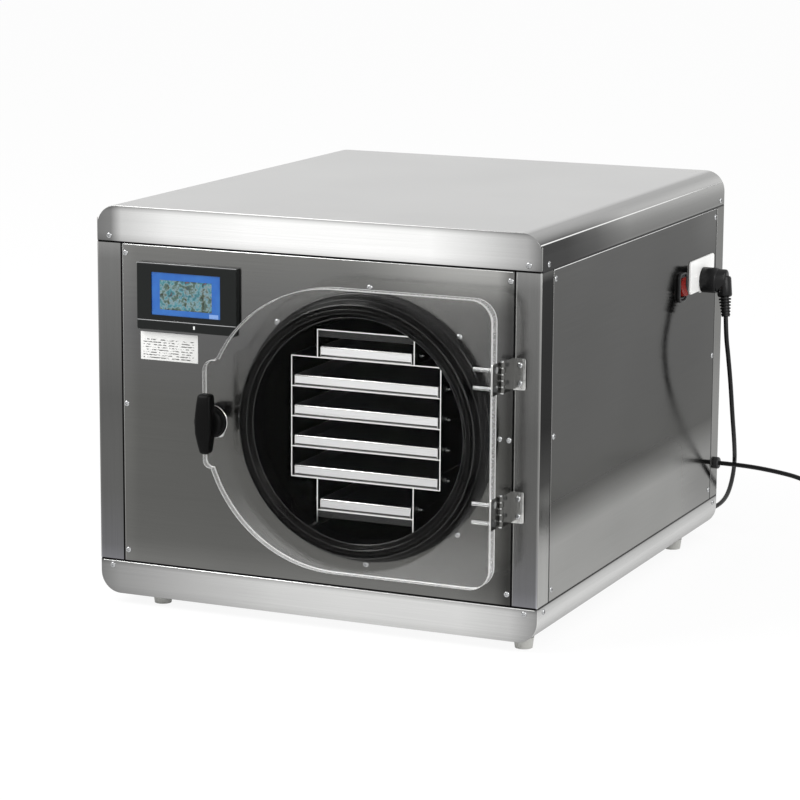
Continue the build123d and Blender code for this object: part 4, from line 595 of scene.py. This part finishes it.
def applied(piece, kind, **settings):  # a modifier, made permanent
    modifier = piece.modifiers.new("shaping", kind)
    for name, value in settings.items():
        setattr(modifier, name, value)
    bpy.context.view_layer.objects.active = piece
    bpy.ops.object.modifier_apply(modifier="shaping")


def softened(piece, width, segments, angle=30):  # rounds each edge sharper than the angle
    applied(piece, "BEVEL", width=width / 1000, segments=segments, limit_method="ANGLE",
            angle_limit=math.radians(angle))


def carved(piece, cutter):  # takes the cutter's shape out of the piece
    bpy.ops.object.select_all(action="DESELECT")
    applied(piece, "BOOLEAN", operation="DIFFERENCE", solver="EXACT", object=cutter)
    bpy.data.objects.remove(cutter)


def block(place, size):  # a plain block, its sides in millimetres
    piece = bare(bpy.ops.mesh.primitive_cube_add, size=1, location=place)
    piece.scale = tuple(side / 1000 for side in size)
    bpy.ops.object.transform_apply(location=False, rotation=False, scale=True)
    return piece


def ringAt(axis, ahead, radius, half, around, across):  # a thin ring ahead of the front, its axis along y
    return bare(bpy.ops.mesh.primitive_torus_add, major_radius=radius / 1000, minor_radius=half / 1000,
                major_segments=around, minor_segments=across, location=at(axis[0], -ahead, axis[1]),
                rotation=(math.pi / 2, 0, 0))


def roundBar(start, end, radius, sides=48):  # a round bar between two spots, its own axis left in its turn
    start, end = at(*start), at(*end)
    along = end - start
    bar = bare(bpy.ops.mesh.primitive_cylinder_add, vertices=sides, radius=radius / 1000, depth=along.length)
    bar.matrix_world = Matrix.Translation((start + end) / 2) @ along.to_track_quat("Z", "Y").to_matrix().to_4x4()
    return bar


def roundedBar(start, end, radius, sides, rim):  # a round bar with its ends' corners rounded
    bar = roundBar(start, end, radius, sides)
    reach = (at(*end) - at(*start)).length / 2
    bevelled(bar, lambda spot: abs(spot.z) > reach * 0.999, rim / 1000, 2)
    return bar


def settle(piece, name, body, slot, material, *nodes):  # named, smooth, placed in its mesh, riding its body
    bpy.ops.object.select_all(action="DESELECT")
    piece.select_set(True)
    bpy.context.view_layer.objects.active = piece
    bpy.ops.object.transform_apply(location=True, rotation=True, scale=True)
    bpy.ops.object.shade_smooth_by_angle(angle=math.radians(32))
    piece.name = name
    dress(piece, material)
    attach(piece, body)
    if nodes:
        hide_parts(*nodes)


def merged(pieces):
    bpy.ops.object.select_all(action="DESELECT")
    for piece in pieces:
        piece.select_set(True)
    bpy.context.view_layer.objects.active = pieces[0]
    bpy.ops.object.join()
    return bpy.context.object


def copiesAt(pattern, places):  # one copy for each place and turn, each with its own mesh
    copies = []
    for place in places:
        copy = pattern.copy()
        copy.data = pattern.data.copy()
        copy.matrix_world = place
        bpy.context.collection.objects.link(copy)
        copies.append(copy)
    bpy.data.objects.remove(pattern)
    return merged(copies)


# pan-head screws with a cross recess; radius and rise of each kind, then where they stand
screws = {"case": (4.2, 2.4), "flange": (4.6, 3.2), "leaf": (3.9, 2.4), "recessLong": 0.58, "recessWide": 0.17,
          "recessDeep": 0.55, "dome": 0.72, "sides": 24,
          "panelX": 285.9, "panelUp": (64.5, 273.5, 485.0), "postX": 311, "postUp": (40, 507.5),
          "sidePanel": (49, -42), "sidePost": (23, -19),  # from the front face and from the back
          "ring": 188.3, "ringStep": 45, "leafFace": -2, "leafUp": 89.5, "leafPair": 12}


def screwHead(size):
    radius, rise = size[0] / 1000, size[1] / 1000
    head = bare(bpy.ops.mesh.primitive_cylinder_add, vertices=screws["sides"], radius=radius, depth=rise * 1.2,
                location=(0, 0, rise * 0.4))
    bevelled(head, lambda spot: spot.z > rise * 0.5, rise * screws["dome"], 5)
    long, wide = (2 * size[0] * screws[key] for key in ("recessLong", "recessWide"))
    deep = 2 * size[1] * screws["recessDeep"]
    for bar in [block((0, 0, rise), sides) for sides in ((long, wide, deep), (wide, long, deep))]:
        carved(head, bar)
    return head


facesOut = {"front": Matrix.Rotation(math.pi / 2, 4, "X"), "back": Matrix.Rotation(-math.pi / 2, 4, "X"),
            "right": Matrix.Rotation(math.pi / 2, 4, "Y"), "left": Matrix.Rotation(-math.pi / 2, 4, "Y")}


def screwPlace(spot, way, turn):
    return Matrix.Translation(at(*spot)) @ facesOut[way] @ Matrix.Rotation(math.radians(turn), 4, "Z")


def addScrews():  # each head has a turn of its own, as screws driven by hand do
    deep = (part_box("base_tray")[1][1] - frontY) * 1000
    places = []
    for column in (-1, 1):
        spots = [(column * screws["panelX"], rise) for rise in screws["panelUp"]]
        spots += [(column * screws["postX"], rise) for rise in screws["postUp"]]
        for x, z in spots:
            places.append(screwPlace((x, 0, z), "front", x * 7 + z * 3))
            places.append(screwPlace((x, deep, z), "back", x * 5 + z))
    for way, x in (("right", sideX), ("left", -sideX)):
        spots = []
        for kind, rises in (("sidePanel", screws["panelUp"]), ("sidePost", screws["postUp"])):
            front, rear = screws[kind]
            spots += [(y, z) for y in (front, deep + rear) for z in rises]
        places += [screwPlace((x, y, z), way, y * 3 + z * 7) for y, z in spots]
    settle(copiesAt(screwHead(screws["case"]), places), "caseScrewHeads", "cabinet", "bright_fasteners",
           zincPlate, "case_screws")
    turns = [math.radians(turn) for turn in range(0, 360, screws["ringStep"])]
    ring = [(chamberAxis[0] + screws["ring"] * math.cos(turn), 0, chamberAxis[1] + screws["ring"] * math.sin(turn))
            for turn in turns]
    settle(copiesAt(screwHead(screws["flange"]), [screwPlace(spot, "front", spot[2] * 3) for spot in ring]),
           "flangeScrewHeads", "cabinet", "bright_fasteners", zincPlate, "flange_screws")
    low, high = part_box("hinge_screws")
    leafX = ((low[0] + high[0]) / 2 - middleX) * 1000
    places = [screwPlace((leafX, screws["leafFace"], chamberAxis[1] + side * screws["leafUp"] + rise), "front",
                         side * 20 + rise * 4)
              for side in (-1, 1) for rise in (-screws["leafPair"], screws["leafPair"])]
    settle(copiesAt(screwHead(screws["leaf"]), places), "hingeScrewHeads", "cabinet", "bright_fasteners",
           zincPlate, "hinge_screws")


addScrews()
print("screws done")

# winged latch grip: a tapered bar on a round boss
grip = {"bossBack": -61.7, "bossFront": -77, "bossRadius": 21, "barBack": -71, "barFront": -93, "tall": 82,
        "wide": 23.5, "topWide": 19, "lowWide": 13, "straight": 0.28, "endDepth": 0.7, "sweep": 0.8, "soft": 4.2,
        "bossSoft": 4.5, "bossBackSoft": 1.2, "cuts": (-0.026, -0.012, 0.0, 0.012, 0.026)}


def addGrip():
    x, z = latchAxis
    boss = bare(bpy.ops.mesh.primitive_cylinder_add, vertices=64, radius=grip["bossRadius"] / 1000,
                depth=(grip["bossBack"] - grip["bossFront"]) / 1000, rotation=(math.pi / 2, 0, 0),
                location=at(x, (grip["bossBack"] + grip["bossFront"]) / 2, z))
    bpy.ops.object.transform_apply(location=False, rotation=True, scale=True)
    bevelled(boss, lambda spot: spot.y < -0.004, grip["bossSoft"] / 1000, 5)
    bevelled(boss, lambda spot: spot.y > 0.006, grip["bossBackSoft"] / 1000, 2)
    thick = grip["barBack"] - grip["barFront"]
    bar = block(at(x, (grip["barBack"] + grip["barFront"]) / 2, z), (grip["wide"], thick, grip["tall"]))
    bpy.ops.object.mode_set(mode="EDIT")
    for height in grip["cuts"]:
        bpy.ops.mesh.select_all(action="SELECT")
        bpy.ops.mesh.bisect(plane_co=bar.location + Vector((0, 0, height)), plane_no=(0, 0, 1))
    bpy.ops.object.mode_set(mode="OBJECT")
    half = grip["tall"] / 2000
    for vertex in bar.data.vertices:
        share = abs(vertex.co.z) / half
        end = grip["topWide"] if vertex.co.z > 0 else grip["lowWide"]
        fall = max(0.0, share - grip["straight"]) / (1 - grip["straight"])
        vertex.co.x *= 1 - (1 - end / grip["wide"]) * fall
        if vertex.co.y < 0:
            vertex.co.y += thick / 1000 * (1 - grip["endDepth"]) * share ** 2 * grip["sweep"]
    softened(bar, grip["soft"], 4, 50)
    settle(merged([boss, bar]), "latchGrip", "latch", "black_plastic", handleBakelite, "latch_handle")


addGrip()
print("latch grip done")

# right-angle mains plug, moulded in one with its ribbed relief
plug = {"face": 333, "y": 652, "z": 399, "radius": 19, "base": 25, "shoulder": 17.6, "narrowed": 0.66,
        "elbowX": 366, "elbowRadius": 11, "elbowSoft": 3.2, "rise": 7, "drop": 24, "tip": (374, 640, 348),
        "relief": 6.2, "ribs": 6, "ribStep": 4.6, "ribThick": 2.4, "ribRadius": 9.4, "ribTaper": 0.5,
        "soft": 3, "faceSoft": 1.2, "ribSoft": 0.8, "pinGap": 9.5, "pinRadius": 2.4, "pinLong": 16}


def addPumpPlug():
    middle = (plug["y"], plug["z"])
    end = plug["face"] + plug["base"]
    base = roundBar((plug["face"], *middle), (end, *middle), plug["radius"], 64)
    half = plug["base"] / 2000
    bevelled(base, lambda spot: spot.z > half * 0.9, plug["soft"] / 1000, 3)
    bevelled(base, lambda spot: spot.z < -half * 0.9, plug["faceSoft"] / 1000, 2)
    neck = roundBar((end - 2, *middle), (plug["elbowX"] + 5, *middle), plug["shoulder"])
    reach = (plug["elbowX"] + 7 - end) / 2000
    bpy.ops.object.mode_set(mode="EDIT")
    pick(neck, "faces", lambda face: face.normal.z > 0.9)
    bpy.ops.transform.resize(value=(plug["narrowed"], plug["narrowed"], 1))
    bpy.ops.object.mode_set(mode="OBJECT")
    bevelled(neck, lambda spot: spot.z > reach * 0.9, plug["soft"] / 1000, 3)
    elbow, tip = Vector((plug["elbowX"], *middle)), Vector(plug["tip"])
    run = (tip - elbow).normalized()
    low = elbow + run * plug["drop"]
    parts = [base, neck, roundedBar(elbow - run * plug["rise"], low, plug["elbowRadius"], 48, plug["elbowSoft"]),
             roundBar(low - run * 2, tip + run * 0.2, plug["relief"], 32)]
    for rib in range(plug["ribs"]):
        start = low + run * (2 + rib * plug["ribStep"])
        ring = roundBar(start, start + run * plug["ribThick"], plug["ribRadius"] - plug["ribTaper"] * rib, 32)
        bevelled(ring, lambda spot: abs(spot.z) > 0.001, plug["ribSoft"] / 1000, 2)
        parts.append(ring)
    for y in (plug["y"] - plug["pinGap"], plug["y"] + plug["pinGap"]):
        parts.append(roundBar((plug["face"] + 1, y, plug["z"]), (plug["face"] - plug["pinLong"], y, plug["z"]),
                              plug["pinRadius"], 20))
    settle(merged(parts), "pumpPlug", "cabinet", "cord_rubber", cordJacket, "pump_plug")


addPumpPlug()
print("pump plug done")

# painted shadow: thin black strips in the joints between the sheets, standing for the shade in the gaps,
# a little proud of them
seams = {"panel": 292.2, "post": 39.8, "rearPost": 720.2, "low": 48.3, "high": 499.2, "across": 656,
         "deepMiddle": 377.5, "deep": 751, "proud": 0.12, "thick": 0.7, "wide": 2.9, "rim": 0.25}
# painted highlights: thin bars in pale finishes along the joints, for folded hems that catch the light
hems = {"round": 0.55, "proud": 0.25, "away": 2.1, "panelHalf": 289, "trayHalf": 326, "from": 42, "to": 718,
        "rim": 0.2}
# painted highlights: thin pale bars along the shoulders and down the front corners
crease = {"x": 326.2, "z": 533.7, "round": 0.9, "from": 1.5, "to": 753, "cornerX": 329.4, "cornerY": 0.6,
          "corners": ((51, 497), (501.5, 532))}


def addSeams():
    low, high, thick, wide = (seams[key] for key in ("low", "high", "thick", "wide"))
    middle, tall = (low + high) / 2, high - low
    y = thick / 2 - seams["proud"]
    strips = [((x, y, middle), (wide, thick, tall)) for x in (-seams["panel"], seams["panel"])]
    strips += [((0, y, z), (seams["across"], thick, wide)) for z in (low, high)]
    for x in (y - sideX, sideX - y):
        strips += [((x, way, middle), (thick, wide, tall)) for way in (seams["post"], seams["rearPost"])]
        strips += [((x, seams["deepMiddle"], z), (thick, seams["deep"], wide)) for z in (low, high)]
    blocks = [block(at(*centre), size) for centre, size in strips]
    for strip in blocks:
        softened(strip, seams["rim"], 1)
    settle(merged(blocks), "seamSeals", "cabinet", "black_silicone", blackSilicone)
    y, away = hems["round"] - hems["proud"], hems["away"]
    under, low, high = low - away, low + away, high - away
    sides = (y - sideX, sideX - y)
    level = [((-hems["panelHalf"], y, high), (hems["panelHalf"], y, high)),
             ((-hems["trayHalf"], y, under), (hems["trayHalf"], y, under))]
    level += [((x, hems["from"], high), (x, hems["to"], high)) for x in sides]
    upright = [((x, y, low), (x, y, high)) for x in (-seams["panel"] + away, seams["panel"] + away)]
    upright += [((x, crease["cornerY"], start), (x, crease["cornerY"], end))
                for x in (-crease["cornerX"], crease["cornerX"]) for start, end in crease["corners"]]
    upright += [((x, way, low), (x, way, high)) for x in sides
                for way in (seams["post"] + away, seams["rearPost"] + away)]
    shoulders = [((x, crease["from"], crease["z"]), (x, crease["to"], crease["z"]))
                 for x in (-crease["x"], crease["x"])]
    # painted highlights: the hem and shoulder bars take pale finishes
    for name, runs, radius, finish in (("levelHems", level, hems["round"], rolledRim),
                                       ("uprightHems", upright, hems["round"], hemSteel),
                                       ("shoulderCreases", shoulders, crease["round"], rolledRim)):
        bars = [roundedBar(start, end, radius, 12, hems["rim"]) for start, end in runs]
        settle(merged(bars), name, "cabinet", "stainless_sheet", finish)


addSeams()

# low collar that guards the rocker switch
collar = {"y": 560, "z": 400, "proud": 4.6, "outer": (34, 43), "inner": (27.4, 36.4), "outerCorner": 9,
          "innerCorner": 6.5, "soft": 0.9}


def cornered(thick, size, corner):  # a block on the right side with its edges along x rounded
    piece = block(at(sideX + collar["proud"] / 2, collar["y"], collar["z"]), (thick, *size))
    half = size[0] / 2000
    bevelled(piece, lambda spot: abs(spot.x) < 0.001 and abs(spot.y) > half * 0.9, corner / 1000, 6)
    return piece


ring = cornered(collar["proud"], collar["outer"], collar["outerCorner"])
carved(ring, cornered(collar["proud"] + 4, collar["inner"], collar["innerCorner"]))
softened(ring, collar["soft"], 2, 60)
settle(ring, "switchCollar", "cabinet", "black_plastic", blackAbs)

# moulded beads on the door seal: radius, depth ahead of the front, half height
beads = [(181.7, 9.0, 1.5), (176.6, 27.0, 0.8), (171.0, 37.6, 1.3), (165.6, 39.1, 0.6), (160.8, 38.6, 1.0),
         (154.2, 32.6, 1.0)]
rings = [ringAt(chamberAxis, ahead, radius, half, 192, 16) for radius, ahead, half in beads]
settle(merged(rings), "gasketBeads", "cabinet", "black_silicone", polishedSilicone)

# painted highlight: a thin near-white ring around the latch's washer
washerRim = {"ahead": 61.1, "radius": 22.4, "half": 0.55}
settle(ringAt(latchAxis, *washerRim.values(), 96, 12), "latchRim", "door", "bright_fasteners", rolledRim)

# rolled rims on the trays' fronts in a painted highlight, and pressed heels in painted shade
trayRims = {"round": 1.1, "proud": 0.4, "sideRound": 0.7, "heel": 2.0, "heelProud": 0.5, "inset": 1,
            "sideBack": 0.3, "sideFrom": 1.5}


def addTrayRims():
    bars, heels = [], []
    for number in range(1, 7):
        low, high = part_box(f"tray_{number}")
        left, right = (low[0] - middleX) * 1000, (high[0] - middleX) * 1000
        front = (low[1] - frontY) * 1000
        floor, top = (low[2] - underZ) * 1000, (high[2] - underZ) * 1000
        near, far = left + trayRims["inset"], right - trayRims["inset"]
        y = front - trayRims["proud"] + trayRims["round"]
        z = top - trayRims["round"]
        bars.append(roundedBar((near, y, z), (far, y, z), trayRims["round"], 16, 0.3))
        for x in (left + trayRims["sideRound"], right - trayRims["sideRound"]):
            y = front + trayRims["sideBack"]
            bars.append(roundedBar((x, y, floor + trayRims["sideFrom"]), (x, y, top - trayRims["inset"]),
                                   trayRims["sideRound"], 12, 0.2))
        y = front - trayRims["heelProud"] + trayRims["heel"]
        z = floor + trayRims["heel"]
        heels.append(roundedBar((near, y, z), (far, y, z), trayRims["heel"], 20, 0.5))
    settle(merged(bars), "trayRims", "cabinet", "tray_steel", rolledRim)
    settle(merged(heels), "trayHeels", "cabinet", "tray_steel", pressedHeel)


addTrayRims()

# hinge knuckles, turned a little proud of the leaves' rolled eyes
knuckles = {"axis": (288, -31), "levels": (184.5, 363.5), "count": 5, "tall": 42, "gap": 1.3, "radius": 3.75,
            "rim": 0.6}


def addKnuckles():
    step = knuckles["tall"] / knuckles["count"]
    sets = {"door": [], "cabinet": []}
    for level in knuckles["levels"]:
        for number in range(knuckles["count"]):
            low = level - knuckles["tall"] / 2 + number * step + knuckles["gap"] / 2
            high = low + step - knuckles["gap"]
            sleeve = roundedBar((*knuckles["axis"], low), (*knuckles["axis"], high), knuckles["radius"], 32,
                                knuckles["rim"])
            sets["door" if number % 2 else "cabinet"].append(sleeve)
    for body, sleeves in sets.items():
        settle(merged(sleeves), f"{body}HingeKnuckles", body, "hinge_steel", knuckleSteel)


addKnuckles()
print("seals, rims and knuckles done")

# label, bright trims round the touchscreen and its status lamp: centre, size and rim; the trims are zinc
# strips set as painted highlights along the bezel's lower groove and top edge
trims = {"label": ((labelPlate["middle"][0], -labelPlate["thick"] / 2, labelPlate["middle"][1]),
                   (labelPlate["wide"], labelPlate["thick"], labelPlate["tall"]), labelPlate["rim"]),
         "chinTrim": ((-187.4, -8.1, 395.7), (152, 0.6, 1.1), 0.2),
         "topTrim": ((-187.4, -4.2, 474.7), (153, 7.6, 0.9), 0.2),
         "statusLamp": ((-175.5, -8.3, 389.5), (2.6, 0.8, 4.6), 0.3)}


def thinBlock(name, centre, size, rim, slot, material):  # a thin block with a soft rim
    piece = block(at(*centre), size)
    softened(piece, rim, 2)
    settle(piece, name, "cabinet", slot, material)


thinBlock("labelPlate", *trims["label"], "white_plastic", labelPaper)
# painted highlights: thin zinc strips for the lit groove and top edge of the bezel
thinBlock("screenChinTrim", *trims["chinTrim"], "bright_fasteners", zincPlate)
thinBlock("screenTopTrim", *trims["topTrim"], "bright_fasteners", zincPlate)
thinBlock("screenStatusLamp", *trims["statusLamp"], "white_plastic", ledWhite)
print("label and trims done")

# cords: one smooth line each, with the spare length in a neat coil
supplyCord = {
    "name": "supplyLead", "body": "cabinet",
    "route": [(337, 743.5, 101), (372, 743.5, 101), (418, 744.3, 97.4), (468, 743.8, 90), (490, 744.4, 76.8),
              (504.4, 744.9, 57.7), (511.9, 744.6, 37), (524.2, 744.3, 18.8), (544.1, 744.6, 5.3),
              (567.7, 744.2, -5.2)],
    "coil": (608, 699.5), "way": -1, "turns": 5.25,
    "slots": [(1, 0), (0, 0), (0, 1), (1, 1), (0, 2), (1, 2)],  # column and layer of each turn
    "nodes": ["supply_cord", "supply_cord_coil"], "pieces": ["supply_plug", "cord_gland"], "length": 1.68,
    "farEnd": "plug",
}
pumpLead = {
    "name": "pumpLead", "body": "cabinet",
    "route": [(374.02, 639.95, 347.8), (377.18, 633.63, 320.9), (380.5, 636.5, 290), (380.8, 651, 246),
              (376, 680, 189), (370, 712, 143), (357.5, 757, 99.5), (344, 784, 60), (327, 812, 30), (303, 838, 8),
              (270, 855, -6.2), (237, 861.7, -11)],
    "coil": (200, 817), "way": 1, "turns": 5.5,
    "slots": [(1, 0), (0, 0), (0, 1), (0, 2), (1, 2), (1, 1)],
    "nodes": ["pump_lead", "pump_lead_coil"], "pieces": ["pumpPlug", "pump_connector"], "length": 1.94,
    "farEnd": "connector",
}
coilShape = {"radius": 40.6, "pitch": 7, "perTurn": 16, "change": 70, "start": 90, "tail": 16,
             "floor": -15, "thick": 6.9}


def coilPoints(lead, shape):
    # the turns lie beside and on each other, and each change of place is made just before a turn is full
    centreX, centreY = lead["coil"]
    points = []
    for step in range(int(lead["turns"] * shape["perTurn"]) + 1):
        swept = 360 * step / shape["perTurn"]
        turn = min(int(swept // 360), len(lead["slots"]) - 1)
        column, layer = lead["slots"][turn]
        if turn + 1 < len(lead["slots"]):
            share = max(0, (swept - 360 * turn - 360 + shape["change"]) / shape["change"])
            share = share * share * (3 - 2 * share)
            nextColumn, nextLayer = lead["slots"][turn + 1]
            column += (nextColumn - column) * share
            layer += (nextLayer - layer) * share
        reach = (shape["radius"] + (column - 0.5) * shape["pitch"]) / math.cos(math.pi / shape["perTurn"])
        angle = math.radians(shape["start"] + lead["way"] * swept)
        points.append((centreX + reach * math.cos(angle), centreY + reach * math.sin(angle),
                       shape["floor"] + (layer + 0.5) * shape["pitch"]))
    heading = angle + lead["way"] * math.pi / 2
    x, y, z = points[-1]
    points.append((x + shape["tail"] * math.cos(heading), y + shape["tail"] * math.sin(heading), z))
    return points


def addLead(lead):
    points = lead["route"] + coilPoints(lead, coilShape)
    curve = bpy.data.curves.new(lead["name"], "CURVE")
    curve.dimensions = "3D"
    spline = curve.splines.new("NURBS")
    spline.points.add(len(points) - 1)
    for point, place in zip(spline.points, points):
        point.co = (*at(*place), 1)
    spline.order_u = 3
    spline.use_endpoint_u = True
    spline.resolution_u = 6
    curve.bevel_depth = coilShape["thick"] / 2000
    curve.bevel_resolution = 3
    curve.use_fill_caps = True
    piece = bpy.data.objects.new(lead["name"], curve)
    bpy.context.collection.objects.link(piece)
    dress(piece, cordJacket)
    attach(piece, lead["body"])
    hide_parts(*lead["nodes"])


addLead(supplyCord)
addLead(pumpLead)
print("cords done")
